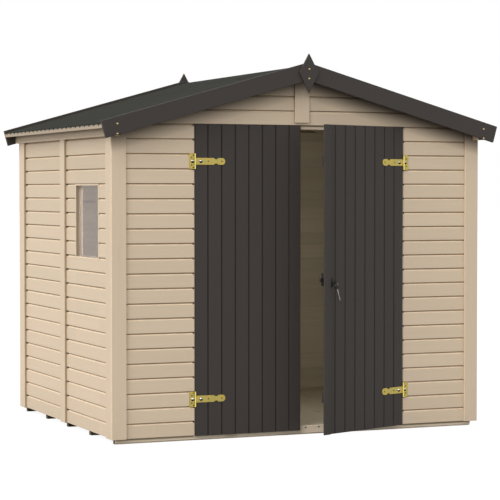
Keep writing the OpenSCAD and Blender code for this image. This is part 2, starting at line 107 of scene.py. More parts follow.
class ShedSizes(bpy.types.PropertyGroup):
    """Sizes of what is laid, nailed and bolted onto the solids."""

    course: length("Course", "Height of a shiplap course and cover of every other board", 0.08677)
    course_line: length("Course line", "Height of one groove between two courses", 1.7672)
    groove: length("Groove", "Height of the groove between two courses", 0.0132)
    groove_back: length("Groove back", "Height of the groove's upright back", 0.0068)
    groove_depth: length("Groove depth", "Depth of the groove, and of the lap over it", 0.0078)
    gable_shade: length("Gable shade", "Reach of the roof's shade down a gable", 0.105)
    rail_shade: length("Rail shade", "Reach of the batten's shade down an eaves rail", 0.028)
    lap: length("Lap", "Rebate by which one shiplap board covers the next", 0.0085)
    lip: length("Lip", "Rounding of a course's lower lip", 0.0012)
    arris: length("Arris", "Rounding of the edges of planed timber", 0.0022)
    small_arris: length("Small arris", "Rounding of the eaves battens and the lock", 0.0012)
    fine_arris: length("Fine arris", "Rounding of the window beads and the hinges", 0.0005)
    v_joint: length("V joint", "Width and depth of one side of a V joint between door boards", 0.0048)
    hinge_board: length("Hinge board", "Width of the door board at the hinges", 0.0804)
    roof_joint: length("Roof joint", "Place of the joint between roof boards nearest the front", -0.956)
    # The open grooves at the eaves are not cut: they are dark plates of painted shade.
    roof_groove: length("Roof groove", "Width of the open groove at a joint between roof boards", 0.032)
    roof_groove_deep: length("Roof groove depth", "Height of that groove where it shows at the eaves", 0.0095)
    floor_nail: length("Floor nail", "Radius of a nail head in the threshold", 0.0052)
    floor_nail_first: length("First floor nail", "Distance of one threshold nail from the middle", 0.039)
    floor_nail_height: length("Floor nail height", "Height of the nails in the threshold", 0.0415)
    clad_nail: length("Wall nail", "Radius of a painted nail head in the boards", 0.0022)
    clad_nail_inset: length("Wall nail inset", "Distance of a door's nails from their board's edges", 0.022)
    screw: length("Screw", "Radius of a countersunk screw head", 0.0046)
    barge_screw: length("Bargeboard screw", "Radius of a screw head in the bargeboards and finials", 0.0052)
    barge_screw_x: length("Bargeboard screw place", "Distance of those screws from the middle", 1.1915)
    barge_screw_low: length("Lower bargeboard screw", "Height of the lower screw at an end", 1.786)
    barge_screw_high: length("Upper bargeboard screw", "Height of the upper screw at an end", 1.843)
    finial_screw_low: length("Lower finial screw", "Height of a finial's lower screw", 2.125)
    finial_screw_high: length("Upper finial screw", "Height of a finial's upper screw", 2.181)
    bolt: length("Coach bolt", "Radius of a coach bolt's head", 0.0105)
    plate_bolt: length("Plate bolt", "Distance of the plate's bolt from the hinge pin", 0.014)
    strap_bolt: length("Strap bolt", "Distance of the strap's bolt from the hinge pin", 0.037)
    nut: length("Nut", "Radius of the nuts behind the bolts", 0.0065)
    neck: length("Neck", "Distance of the strap's neck from the hinge pin", 0.1327)
    neck_half: length("Neck half", "Half the width of the strap at its neck", 0.0123)
    neck_round: length("Neck round", "Radius of the notches at the strap's neck", 0.0166)
    strap_round: length("Strap round", "Radius of the strap's end", 0.0195)
    plate_extra: length("Plate edge", "Width added to the hinge plate's outer edge", 0.004)
    hinge_metal: length("Hinge metal", "Thickness of the hinge plates and straps", 0.003)
    # The barrels are lightened within this radius: a painted highlight.
    barrel: length("Barrel", "Radius within which the hinge metal is rubbed bright", 0.0053)
    lock_plate: length("Lock plate", "Thickness of the escutcheon's plate", 0.005)
    key_bow: length("Key bow", "Radius of a key's bow", 0.011)
    key_plate: length("Key plate", "Thickness of a key", 0.0024)
    bow_arris: length("Bow arris", "Rounding of the key bows", 0.0006)
    blade_arris: length("Blade arris", "Rounding of the key blades", 0.0003)
    key_blade: length("Key blade", "Width of a key's blade", 0.008)
    key_length: length("Key length", "Length of the spare key's blade", 0.072)
    key_ring: length("Key ring", "Mean radius of the key ring", 0.010)
    key_wire: length("Key wire", "Radius of the key ring's wire", 0.0012)
    key_lean: bpy.props.FloatProperty(
        name="Key lean", description="Lean of the spare key in degrees", default=20.0
    )
    key_sunk: length("Key depth", "How much further the key goes into the lock", 0.009)
    # The dark open end of a groove is painted shade.
    groove_end: length("Groove end", "Length of the dark open end of a groove", 0.008)
    head_shade: length("Head shade", "Height of the shade on the head rail under the gable", 0.0145)
    sill_shade: length("Sill shade", "Height of the shade on the sill under the walls", 0.010)
    felt_lap: length("Felt lap", "Width by which one strip of felt covers the next", 0.075)
    felt_strip: length("Felt strip", "Width of the felt strip along the eaves", 0.9)
    felt_cap: length("Felt cap", "Width of the ridge strip on each slope", 0.2)
    sill_chamfer: length("Sill chamfer", "Chamfer along the outer edge of the window's sill", 0.006)
    bead: length("Bead", "Depth of the glazing beads inside the pane", 0.016)
    bead_flat: length("Bead flat", "Depth of the beads' flat next to the pane", 0.007)
    bead_splay: length("Bead splay", "Width of the side beads where they are widest", 0.020)


class ShedColours(bpy.types.PropertyGroup):
    """Colours of the finishes."""

    cream: tone("Cream paint", "Walls, corner boards and strips", (0.70, 0.565, 0.415))
    white: tone("Window paint", "Jambs and beads inside the pane", (0.90, 0.905, 0.90))
    charcoal: tone("Charcoal paint", "Doors, bargeboards and finials", (0.0535, 0.0452, 0.0405))
    inside: tone("Bare boards", "Unpainted inner faces of the cladding", (0.58, 0.53, 0.41))
    framing: tone("Framing", "Studs, rails and beams", (0.80, 0.68, 0.53))
    eaves: tone("Eaves timber", "Rails and battens along the eaves", (0.447, 0.36, 0.268))
    floor: tone("Floor timber", "Floor and roof boards", (0.54, 0.487, 0.365))
    # Lighter than the floor timber: painted light, standing in for light thrown up from the floor.
    sill: tone("Sill timber", "Planed sill under the doors", (0.94, 0.81, 0.635))
    bearers: tone("Bearer timber", "Treated bearers under the floor", (0.18, 0.148, 0.108))
    felt: tone("Felt", "Mineral felt on the roof", (0.0255, 0.0270, 0.0200))
    gilt: tone("Gilt steel", "Passivated hinges", (0.61, 0.445, 0.093))
    gilt_cloud: tone("Gilt cloud", "Duller patches on the hinges", (0.37, 0.39, 0.175))
    # The barrels' colours: a painted highlight.
    bright_gilt: tone("Bright gilt", "Hinge barrels, rubbed bright", (0.88, 0.74, 0.24))
    bright_cloud: tone("Bright gilt cloud", "Duller patches on the barrels", (0.80, 0.68, 0.20))
    brass: tone("Brass", "Screws in the bargeboards and finials", (1.0, 0.78, 0.38))
    zinc: tone("Zinc", "Bolts, small screws, nails and keys", (0.66, 0.66, 0.66))
    black: tone("Black", "Lock, escutcheon and key bows", (0.027, 0.024, 0.021))
    glass: tone("Glass", "The window pane", (0.935, 0.826, 0.754))
    ground: tone("Ground", "The studio floor", (0.33, 0.33, 0.33))


# Modelling


def boards_apart(bm):
    """Groups of faces that hold together, in the order of the faces."""
    bm.faces.index_update()
    seen = set()
    for face in bm.faces:
        if face.index in seen:
            continue
        seen.add(face.index)
        group, waiting = [], [face]
        while waiting:
            current = waiting.pop()
            group.append(current)
            for edge in current.edges:
                for other in edge.link_faces:
                    if other.index not in seen:
                        seen.add(other.index)
                        waiting.append(other)
        yield group


def mark_boards(bm, seed, along=None):
    """Writes each board's own grain coordinates and tint, with the grain along its longest edge."""
    draw = random.Random(seed)
    grain = bm.verts.layers.float_vector.new("grain")
    tint = bm.verts.layers.float.new("tint")
    for group in boards_apart(bm):
        if along is None:
            edges = [edge for face in group for edge in face.edges]
            longest = max(edges, key=lambda edge: round(edge.calc_length(), 5))
            run = (longest.verts[1].co - longest.verts[0].co).normalized()
        else:
            run = along
        side = run.orthogonal().normalized()
        third = run.cross(side)
        shift = Vector((draw.uniform(0, 40), draw.uniform(0, 9), draw.uniform(0, 9)))
        lightness = draw.random()
        for vert in {vert for face in group for vert in face.verts}:
            vert[grain] = Vector((vert.co.dot(run), vert.co.dot(side), vert.co.dot(third))) + shift
            vert[tint] = lightness


def swept(bm, ring, sweep):
    """A closed prism: the ring of points as a face, extruded along the sweep."""
    face = bm.faces.new([bm.verts.new(point) for point in ring])
    made = bmesh.ops.extrude_face_region(bm, geom=[face])["geom"]
    moved = [item for item in made if isinstance(item, bmesh.types.BMVert)]
    bmesh.ops.translate(bm, verts=moved, vec=sweep)


def outwards(bm):
    """Turns every face's normal outwards."""
    bmesh.ops.recalc_face_normals(bm, faces=bm.faces)


def sliced(bm, place, normal, clear=False):
    """Divides the faces along a plane, and clears what lies beyond it if asked."""
    everything = bm.verts[:] + bm.edges[:] + bm.faces[:]
    bmesh.ops.bisect_plane(
        bm, geom=everything, dist=1e-6, plane_co=place, plane_no=normal, clear_outer=clear
    )


def slit(bm, axis, place):
    """Divides the faces at a place along an axis, and keeps both sides."""
    normal = Vector((0.0, 0.0, 0.0))
    normal[axis] = 1.0
    sliced(bm, normal * place, normal)


def cut(bm, place, normal):
    """Cuts away what lies beyond a plane and closes the cut ends."""
    sliced(bm, place, normal, True)
    rim = [edge for edge in bm.edges if edge.is_boundary]
    if rim:
        bmesh.ops.holes_fill(bm, edges=rim, sides=0)


def take_in(bm, part):
    """Adds a second bmesh to the first."""
    mesh = bpy.data.meshes.new("part")
    part.to_mesh(mesh)
    part.free()
    bm.from_mesh(mesh)
    bpy.data.meshes.remove(mesh)


def bevelled(bm, edges, offset, segments):
    """Bevels edges and returns the faces that this makes."""
    return bmesh.ops.bevel(
        bm,
        geom=edges,
        offset=offset,
        offset_type="OFFSET",
        segments=segments,
        profile=0.5,
        affect="EDGES",
        clamp_overlap=True,
        material=-1,
    )["faces"]


def eased(bm, arris, limit=30.0, segments=2):
    """Rounds the sharp edges and marks the rounded faces to be lightened, as wear and as painted highlight.
    """
    wear_and_highlight_mark = bm.faces.layers.float.new("edge")
    sharp = [
        edge
        for edge in bm.edges
        if len(edge.link_faces) == 2 and edge.calc_face_angle() > math.radians(limit)
    ]
    for face in bevelled(bm, sharp, arris, segments):
        face[wear_and_highlight_mark] = 1.0


def mark_painted_shade(bm, test, amount=1.0):
    """Marks the faces to be darkened by painted shade, with how much."""
    layer = bm.faces.layers.float.get("grime") or bm.faces.layers.float.new("grime")
    for face in bm.faces:
        if test(face):
            face[layer] = amount


def shaded(bm, reach, test):
    """Marks the faces that get painted shade below the roof, with how far down from the roof it reaches."""
    layer = bm.faces.layers.float.get("reach") or bm.faces.layers.float.new("reach")
    for face in bm.faces:
        if test(face):
            face[layer] = reach


def solid_of(node):
    """A merged copy of a node's mesh with whole faces."""
    bm = bmesh.new()
    bm.from_mesh(frame["nodes"][node].data)
    bmesh.ops.remove_doubles(bm, verts=bm.verts, dist=1e-5)
    bmesh.ops.dissolve_limit(bm, angle_limit=math.radians(0.4), verts=bm.verts, edges=bm.edges)
    return bm


def make_piece(name, bm, body, materials, stands_for=(), smooth=None):
    """Turns a bmesh into a piece that rides on a body and takes its finishes."""
    mesh = bpy.data.meshes.new(name)
    if smooth is not None:
        for face in bm.faces:
            face.smooth = True
    bm.to_mesh(mesh)
    bm.free()
    if smooth is not None:
        mesh.set_sharp_from_angle(angle=math.radians(smooth))
    for material in materials:
        mesh.materials.append(material)
    piece = bpy.data.objects.new(name, mesh)
    bpy.context.scene.collection.objects.link(piece)
    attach(piece, body)
    if stands_for:
        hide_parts(*stands_for)


def timber_piece(node, body, material, arris, along=None, grime=None, shade_reach=0.0):
    """A node's own shape with eased edges, grain along each of its timbers, and painted shade where asked."""
    bm = solid_of(node)
    eased(bm, arris)
    if grime is not None:
        mark_painted_shade(bm, grime, JOINT_SHADE)
    if shade_reach:
        shaded(bm, shade_reach, lambda face: abs(face.normal.z) < 0.5)
    mark_boards(bm, node, along)
    make_piece(f"{node}.planed", bm, body, [material], [node])


def turned(bm, profile, steps):
    """A turned shape from (radius, height) pairs, about the Z axis at the origin."""
    verts = [bm.verts.new((radius, 0.0, height)) for radius, height in profile]
    edges = [bm.edges.new(pair) for pair in zip(verts, verts[1:])]
    bmesh.ops.spin(
        bm,
        geom=verts + edges,
        cent=(0.0, 0.0, 0.0),
        axis=(0.0, 0.0, 1.0),
        angle=2.0 * math.pi,
        steps=steps,
        use_merge=True,
        use_duplicate=False,
    )
    bmesh.ops.remove_doubles(bm, verts=bm.verts, dist=1e-6)


def fixing(profile, steps):
    """One fixing's head as a bmesh: turned, with its normals outwards."""
    bm = bmesh.new()
    turned(bm, profile, steps)
    outwards(bm)
    return bm


def heads(bm, head, places, outward, turn=None):
    """Sets a copy of a fixing's head at each place, facing outwards."""
    mesh = bpy.data.meshes.new("head")
    head.to_mesh(mesh)
    stand = outward.to_track_quat("Z", "Y").to_matrix().to_4x4()
    for place in places:
        before = len(bm.verts)
        bm.from_mesh(mesh)
        bm.verts.ensure_lookup_table()
        moved = bm.verts[before:]
        bmesh.ops.transform(bm, matrix=Matrix.Translation(place) @ stand, verts=moved)
        if turn is not None:
            bmesh.ops.transform(bm, matrix=turn, verts=moved)
    bpy.data.meshes.remove(mesh)


def nail_head(radius):
    """A flat nail head."""
    return fixing([(0.0, 0.0011), (radius * 0.7, 0.0010), (radius, 0.0004), (radius, -0.0005)], 12)


def screw_head(radius):
    """A countersunk screw head with its driver's recess."""
    return fixing(
        [
            (0.0, -0.0006),
            (radius * 0.30, -0.0004),
            (radius * 0.38, 0.0012),
            (radius * 0.85, 0.0009),
            (radius, 0.0003),
            (radius, -0.0006),
        ],
        14,
    )


def bolt_head(radius):
    """A coach bolt's domed head."""
    rise = radius * 0.8
    arc = [math.radians(90.0 - 15.0 * step) for step in range(7)]
    return fixing([(radius * math.cos(a), rise * math.sin(a)) for a in arc] + [(radius, -0.0005)], 18)


def nut(radius):
    """A washer with a nut and the bolt's end."""
    bm = fixing([(0.0, 0.0016), (radius * 1.7, 0.0016), (radius * 1.7, -0.0004)], 20)
    for width, deep, sides in ((radius, 0.0075, 6), (radius * 0.55, 0.0120, 12)):
        made = bmesh.ops.create_cone(
            bm, cap_ends=True, segments=sides, radius1=width, radius2=width * 0.96, depth=deep
        )
        bmesh.ops.translate(bm, verts=made["verts"], vec=(0.0, 0.0, deep / 2.0))
    return bm


def fixings_piece(name, bm, body, slot, *materials):
    """Many heads as one piece; a second finish, a painted shade, goes on the undersides."""
    if len(materials) > 1:
        bm.normal_update()
        for face in bm.faces:
            face.material_index = 1 if face.normal.z < 0.08 else 0
    make_piece(name, bm, body, materials, smooth=50.0)


def swung(body):
    """From where a door's pieces lie shut to where the door stands at rest."""
    joint = HINGES[body]
    angle = -math.radians(joint["range_deg"][0]) * joint["axis"][2]
    pin = Matrix.Translation(Vector(joint["pos_m"]))
    return pin @ Matrix.Rotation(angle, 4, "Z") @ pin.inverted()


# Shader groups and materials


def feed(tree, socket, value):
    """Links a socket or sets its value."""
    if isinstance(value, bpy.types.NodeSocket):
        tree.links.new(value, socket)
    elif socket.type == "RGBA":
        socket.default_value = (*tuple(value)[:3], 1.0)
    else:
        socket.default_value = value


def add(tree, kind, inputs=None, **settings):
    """Adds a node with its settings and the values or links of its inputs."""
    node = tree.nodes.new(kind)
    for key, value in settings.items():
        setattr(node, key, value)
    for socket, value in (inputs or {}).items():
        feed(tree, node.inputs[socket], value)
    return node


def mixed(tree, factor, first, second, blend="MIX"):
    """A mix of two colours."""
    node = add(tree, "ShaderNodeMix", {0: factor, 6: first, 7: second}, data_type="RGBA", blend_type=blend)
    return node.outputs[2]


def reckon(tree, operation, first, second=0.5):
    """One sum on two values."""
    return add(tree, "ShaderNodeMath", {0: first, 1: second}, operation=operation).outputs[0]


def ranged(tree, value, low, high, start=0.0, end=1.0):
    """A value brought from one range into another and held there."""
    return add(
        tree,
        "ShaderNodeMapRange",
        {"Value": value, "From Min": low, "From Max": high, "To Min": start, "To Max": end},
    ).outputs["Result"]


def scaled(tree, vector, scale):
    """Coordinates stretched along their axes."""
    return add(tree, "ShaderNodeMapping", {"Vector": vector, "Scale": scale}).outputs["Vector"]


def noise(tree, vector, scale, detail=3.0, rough=0.55, warp=0.0):
    """A noise value."""
    inputs = {"Vector": vector, "Scale": scale, "Detail": detail, "Roughness": rough, "Distortion": warp}
    return add(tree, "ShaderNodeTexNoise", inputs).outputs[0]


def attribute(tree, name, output):
    """One of a piece's own attributes."""
    return add(tree, "ShaderNodeAttribute", attribute_name=name).outputs[output]


def object_place(tree):
    """Object coordinates."""
    return add(tree, "ShaderNodeTexCoord").outputs["Object"]


def new_group(name, inputs, outputs):
    """An empty shader group with its sockets, as (tree, inputs, outputs)."""
    tree = bpy.data.node_groups.new(name, "ShaderNodeTree")
    for label, kind, default in inputs:
        socket = tree.interface.new_socket(name=label, in_out="INPUT", socket_type=f"NodeSocket{kind}")
        socket.default_value = (*default, 1.0) if kind == "Color" else default
    for label, kind in outputs:
        tree.interface.new_socket(name=label, in_out="OUTPUT", socket_type=f"NodeSocket{kind}")
    return tree, tree.nodes.new("NodeGroupInput").outputs, tree.nodes.new("NodeGroupOutput").inputs


def grain_group():
    """Streaks, fine fibres and knots along each board's own grain."""
    name = "timber grain"
    if name in bpy.data.node_groups:
        return bpy.data.node_groups[name]
    outputs = [("Streak", "Float"), ("Fibre", "Float"), ("Knot", "Float"), ("Height", "Float")]
    tree, _, out = new_group(name, [], outputs)
    place = attribute(tree, "grain", "Vector")
    bands = noise(tree, scaled(tree, place, (1.6, 55.0, 55.0)), 1.0, 4.0, 0.6, 0.7)
    streak = ranged(tree, bands, 0.32, 0.68)
    fibre = noise(tree, scaled(tree, place, (16.0, 480.0, 480.0)), 1.0, 2.0, 0.6)
    cells = add(
        tree, "ShaderNodeTexVoronoi", {"Vector": scaled(tree, place, (1.7, 8.5, 8.5)), "Scale": 1.0}
    ).outputs["Distance"]
    knot = ranged(tree, cells, 0.05, 0.13, 1.0, 0.0)
    coarse, fine = reckon(tree, "MULTIPLY", streak, 0.45), reckon(tree, "MULTIPLY", fibre, 0.55)
    height = reckon(tree, "ADD", coarse, fine)
    for label, value in (("Streak", streak), ("Fibre", fibre), ("Knot", knot), ("Height", height)):
        feed(tree, out[label], value)
    return tree


def tint_group():
    """Lightens or darkens a colour from board to board and along the grain."""
    name = "board tint"
    if name in bpy.data.node_groups:
        return bpy.data.node_groups[name]
    inputs = [("Colour", "Color", (0.5, 0.5, 0.5)), ("Amount", "Float", 0.1), ("Streak", "Float", 0.5)]
    tree, given, out = new_group(name, inputs, [("Colour", "Color")])
    swing = reckon(tree, "SUBTRACT", attribute(tree, "tint", "Fac"), 0.5)
    board = reckon(tree, "MULTIPLY", swing, given["Amount"])
    along = reckon(tree, "MULTIPLY", reckon(tree, "SUBTRACT", given["Streak"], 0.5), given["Amount"])
    value = reckon(tree, "ADD", reckon(tree, "ADD", board, reckon(tree, "MULTIPLY", along, 0.6)), 1.0)
    tinted = add(tree, "ShaderNodeHueSaturation", {"Color": given["Colour"], "Value": value})
    feed(tree, out["Colour"], tinted.outputs["Color"])
    return tree


def wear_and_light_group():
    """Lightens the eased edges, as wear and as painted highlight, darkens the faces with painted shade and
    those in the painted shade below the roof, and dulls the foot of the walls.
    """
    name = "edge wear"
    if name in bpy.data.node_groups:
        return bpy.data.node_groups[name]
    inputs = [
        ("Colour", "Color", (0.5, 0.5, 0.5)),
        ("Worn", "Color", (0.6, 0.6, 0.6)),
        ("Amount", "Float", 0.4),
        ("Dust", "Color", (0.5, 0.5, 0.5)),
        ("Dusting", "Float", 0.1),
    ]
    tree, given, out = new_group(name, inputs, [("Colour", "Color")])
    place = object_place(tree)
    patch = ranged(tree, noise(tree, place, 22.0, 4.0, 0.65), 0.42, 0.62)
    edge = attribute(tree, "edge", "Fac")
    bare = reckon(tree, "MULTIPLY", edge, ranged(tree, patch, 0.0, 1.0, 0.55, 0.95))
    rubbed_and_highlit = reckon(tree, "MULTIPLY", bare, given["Amount"])
    wear_and_painted_light = mixed(tree, rubbed_and_highlit, given["Colour"], given["Worn"])
    # Painted shade, face by face.
    wear_and_painted_light = mixed(tree, attribute(tree, "grime", "Fac"), wear_and_painted_light, PAINTED_SHADE_TINT, "MULTIPLY")
    across, _, height = add(tree, "ShaderNodeSeparateXYZ", {"Vector": place}).outputs
    # Painted shade below the roof: a face with a reach is darker the nearer it lies to the roof's underside.
    rise, _, ridge, _ = slope_of("left_roof_deck")
    fallen = reckon(tree, "MULTIPLY_ADD", reckon(tree, "ABSOLUTE", across), rise)
    fallen.node.inputs[2].default_value = -ridge
    below = reckon(tree, "MULTIPLY", reckon(tree, "ADD", fallen, height), -1.0)
    reach = attribute(tree, "reach", "Fac")
    share = reckon(tree, "DIVIDE", below, reckon(tree, "MAXIMUM", reach, 0.001))
    light = ranged(tree, share, 0.6, 1.65, 0.17, 1.0)
    light = reckon(tree, "MAXIMUM", light, reckon(tree, "LESS_THAN", reach, 0.001))
    wear_and_painted_light = add(tree, "ShaderNodeVectorMath", {0: wear_and_painted_light, "Scale": light}, operation="SCALE").outputs["Vector"]
    uneven = reckon(tree, "ADD", height, reckon(tree, "MULTIPLY", patch, 0.10))
    low = ranged(tree, uneven, 0.06, 0.30, 1.0, 0.0)
    dusted = reckon(tree, "MULTIPLY", low, given["Dusting"])
    feed(tree, out["Colour"], mixed(tree, dusted, wear_and_painted_light, given["Dust"]))
    return tree


def granule_group():
    """Mineral granules, and the blotches that rain leaves in them."""
    name = "felt granules"
    if name in bpy.data.node_groups:
        return bpy.data.node_groups[name]
    outputs = [("Grain", "Float"), ("Blotch", "Float"), ("Height", "Float")]
    tree, _, out = new_group(name, [], outputs)
    place = object_place(tree)
    cells = add(tree, "ShaderNodeTexVoronoi", {"Vector": place, "Scale": 520.0})
    speck = add(tree, "ShaderNodeSeparateColor", {"Color": cells.outputs["Color"]}).outputs[0]
    blotch = ranged(tree, noise(tree, scaled(tree, place, (1.6, 5.0, 1.6)), 1.0, 5.0, 0.6), 0.3, 0.7)
    height = reckon(tree, "SUBTRACT", 1.0, cells.outputs["Distance"])
    for label, value in (("Grain", speck), ("Blotch", blotch), ("Height", height)):
        feed(tree, out[label], value)
    return tree


def metal_group():
    """Cloudy variation and fine scratches of worked metal."""
    name = "worked metal"
    if name in bpy.data.node_groups:
        return bpy.data.node_groups[name]
    tree, _, out = new_group(name, [], [("Cloud", "Float"), ("Scratch", "Float"), ("Height", "Float")])
    place = object_place(tree)
    cloud = ranged(tree, noise(tree, place, 34.0, 4.0, 0.6), 0.35, 0.65)
    scratch = noise(tree, scaled(tree, place, (90.0, 90.0, 900.0)), 1.0, 2.0, 0.5)
    coarse, fine = reckon(tree, "MULTIPLY", cloud, 0.3), reckon(tree, "MULTIPLY", scratch, 0.7)
    height = reckon(tree, "ADD", coarse, fine)
    for label, value in (("Cloud", cloud), ("Scratch", scratch), ("Height", height)):
        feed(tree, out[label], value)
    return tree


def placed(tree, group, inputs=None):
    """A shader group placed in a material, with its inputs."""
    return add(tree, "ShaderNodeGroup", inputs, node_tree=group)


def new_material(name):
    """A material with a Principled shader, as (material, tree, shader)."""
    material = bpy.data.materials.new(name)
    material.use_nodes = True
    tree = material.node_tree
    return material, tree, tree.nodes["Principled BSDF"]


def bump(tree, shader, height, distance, strength):
    """Lets a height shape the surface."""
    node = add(tree, "ShaderNodeBump", {"Height": height, "Distance": distance, "Strength": strength})
    tree.links.new(node.outputs["Normal"], shader.inputs["Normal"])


def shade(colour, factor):
    """A colour made darker or lighter."""
    return tuple(min(1.0, part * factor) for part in colour)


def timber_finish(name, colour, painted, rough, dust):
    """Painted or bare timber on each board's own grain."""
    material, tree, shader = new_material(name)
    grain = placed(tree, grain_group())
    streak, fibre, knot = (grain.outputs[label] for label in ("Streak", "Fibre", "Knot"))
    if painted:
        base = mixed(tree, reckon(tree, "MULTIPLY", knot, 0.10), colour, shade(colour, 0.72))
        # Eased edges and upward lips lighten towards a lighter colour, as wear and as painted highlight.
        amount, wear_and_painted_light, rub_and_highlight = 0.05, shade(colour, 1.34), 0.9
        depth, strength = 0.0005, 0.35
    else:
        dark = (colour[0] * 0.66, colour[1] * 0.58, colour[2] * 0.50)
        base = mixed(tree, reckon(tree, "MULTIPLY", streak, 0.55), colour, dark)
        base = mixed(tree, reckon(tree, "MULTIPLY", fibre, 0.25), base, shade(colour, 0.80))
        base = mixed(tree, reckon(tree, "MULTIPLY", knot, 0.75), base, shade(dark, 0.45))
        amount, wear_and_painted_light, rub_and_highlight = 0.14, shade(colour, 1.15), 0.45
        depth, strength = 0.0008, 0.5
    base = placed(tree, tint_group(), {"Colour": base, "Amount": amount, "Streak": streak}).outputs["Colour"]
    wear = {"Colour": base, "Worn": wear_and_painted_light, "Amount": rub_and_highlight, "Dust": shade(colour, 0.62), "Dusting": dust}
    base = placed(tree, wear_and_light_group(), wear).outputs["Colour"]
    feed(tree, shader.inputs["Base Color"], base)
    feed(tree, shader.inputs["Roughness"], ranged(tree, fibre, 0.3, 0.7, rough - 0.08, rough + 0.08))
    shader.inputs["Specular IOR Level"].default_value = 0.2
    bump(tree, shader, grain.outputs["Height"], depth, strength)
    return material


def metal_finish(name, colour, dull, rough, metallic, gloss):
    """Plated, turned or lacquered metal."""
    material, tree, shader = new_material(name)
    worked = placed(tree, metal_group())
    base = mixed(tree, reckon(tree, "MULTIPLY", worked.outputs["Cloud"], 0.6), colour, dull)
    feed(tree, shader.inputs["Base Color"], base)
    roughness = ranged(tree, worked.outputs["Scratch"], 0.3, 0.7, rough - 0.07, rough + 0.07)
    feed(tree, shader.inputs["Roughness"], roughness)
    shader.inputs["Metallic"].default_value = metallic
    shader.inputs["Specular IOR Level"].default_value = gloss
    bump(tree, shader, worked.outputs["Height"], 0.0002, 0.3)
    return material


def felt_finish(name, colour):
    """Grey green mineral felt."""
    material, tree, shader = new_material(name)
    felt = placed(tree, granule_group())
    base = mixed(tree, felt.outputs["Grain"], shade(colour, 0.72), shade(colour, 1.30))
    base = mixed(tree, reckon(tree, "MULTIPLY", felt.outputs["Blotch"], 0.25), base, shade(colour, 0.80))
    feed(tree, shader.inputs["Base Color"], base)
    feed(tree, shader.inputs["Roughness"], ranged(tree, felt.outputs["Grain"], 0.0, 1.0, 0.86, 0.98))
    shader.inputs["Specular IOR Level"].default_value = 0.08
    bump(tree, shader, felt.outputs["Height"], 0.0012, 0.6)
    return material


def glass_finish(name, colour):
    """Clear glazing with a faint film of dust."""
    material, tree, shader = new_material(name)
    film = ranged(tree, noise(tree, object_place(tree), 9.0, 5.0, 0.6), 0.35, 0.75)
    feed(tree, shader.inputs["Base Color"], mixed(tree, film, colour, shade(colour, 0.97)))
    feed(tree, shader.inputs["Roughness"], ranged(tree, film, 0.0, 1.0, 0.0, 0.05))
    shader.inputs["Transmission Weight"].default_value = 0.94
    shader.inputs["IOR"].default_value = 1.2
    return material


# By label, which is also the colour's: the material, whether it is painted, roughness and dust.
TIMBERS = {
    "cream": ("cream paint", True, 0.55, 0.10),
    "white": ("window paint", True, 0.45, 0.0),
    "charcoal": ("charcoal paint", True, 0.50, 0.10),
    "eaves": ("eaves timber", True, 0.60, 0.0),
    "inside": ("bare boards", False, 0.72, 0.05),
    "framing": ("framing timber", False, 0.70, 0.05),
    "floor": ("floor timber", False, 0.72, 0.15),
    "sill": ("sill timber", False, 0.70, 0.0),
    "bearers": ("bearer timber", False, 0.75, 0.0),
}
# By label: the material, its colour and shade, its cloud's colour and shade, roughness, metallic and gloss.
METALS = {
    "gilt": ("gilt steel", "gilt", 1.0, "gilt_cloud", 1.0, 0.42, 1.0, 0.5),
    "bright gilt": ("bright gilt", "bright_gilt", 1.0, "bright_cloud", 1.0, 0.25, 1.0, 0.5),
    "dark gilt": ("dark gilt", "gilt", 0.30, "gilt", 0.16, 0.45, 1.0, 0.5),
    "brass": ("brass", "brass", 1.0, "brass", 0.75, 0.28, 1.0, 0.5),
    "steel": ("key steel", "zinc", 0.55, "zinc", 0.40, 0.32, 1.0, 0.5),
    "zinc": ("zinc", "zinc", 1.0, "zinc", 0.80, 0.25, 1.0, 0.5),
    "tarnish": ("tarnished zinc", "zinc", 0.03, "zinc", 0.02, 0.6, 0.0, 0.05),
    # Real nail heads, and the near-black painted shade at the open ends of grooves.
    "iron": ("dull nails", "zinc", 0.05, "zinc", 0.03, 0.7, 0.0, 0.5),
    "black": ("black lacquer", "black", 1.0, "black", 1.6, 0.55, 0.0, 0.15),
}
SHEETS = {"felt": ("mineral felt", felt_finish), "glass": ("window glass", glass_finish)}
FINISHES = {**TIMBERS, **METALS, **SHEETS}


def finish(label):
    """The finish with this label, made when it is first asked for."""
    colours = bpy.context.scene.shed_colours
    name, *look = FINISHES[label]
    if name in bpy.data.materials:
        return bpy.data.materials[name]
    if label in TIMBERS:
        return timber_finish(name, getattr(colours, label), *look)
    if label in METALS:
        metal, light, cloud, dim, *sheen = look
        colour, dull = shade(getattr(colours, metal), light), shade(getattr(colours, cloud), dim)
        return metal_finish(name, colour, dull, *sheen)
    return look[0](name, getattr(colours, label))


# Walls


def course_section(sizes, thick):
    """Section of one shiplap board as (inward, upward) pairs."""
    slack, chamfer, hollow, steps = 0.0002, 0.0008, 0.0007, 4
    deep = sizes.groove_depth
    top = sizes.course + sizes.lap - slack
    section = [
        (sizes.lip, 0.0),
        (deep - slack, 0.0),
        (deep - slack, sizes.lap),
        (thick - chamfer, sizes.lap),
        (thick, sizes.lap + chamfer),
        (thick, top - chamfer),
        (thick - chamfer, top),
        (deep + slack, top),
    ]
    for step in range(steps + 1):
        share = step / steps
        scoop = hollow * math.sin(math.pi * share)
        fall = sizes.groove_back + (sizes.groove - sizes.groove_back) * share
        section.append(((deep + slack) * (1.0 - share) + scoop, sizes.course - fall))
    section.append((0.0, sizes.lip))
    return section


def top_section(sizes, thick):
    """Section of the top shiplap board, which has no groove."""
    chamfer = 0.0008
    section = course_section(sizes, thick)[:5]
    section += [(thick, sizes.course - chamfer), (thick - chamfer, sizes.course)]
    return section + [(sizes.lip, sizes.course), (0.0, sizes.course - sizes.lip), (0.0, sizes.lip)]


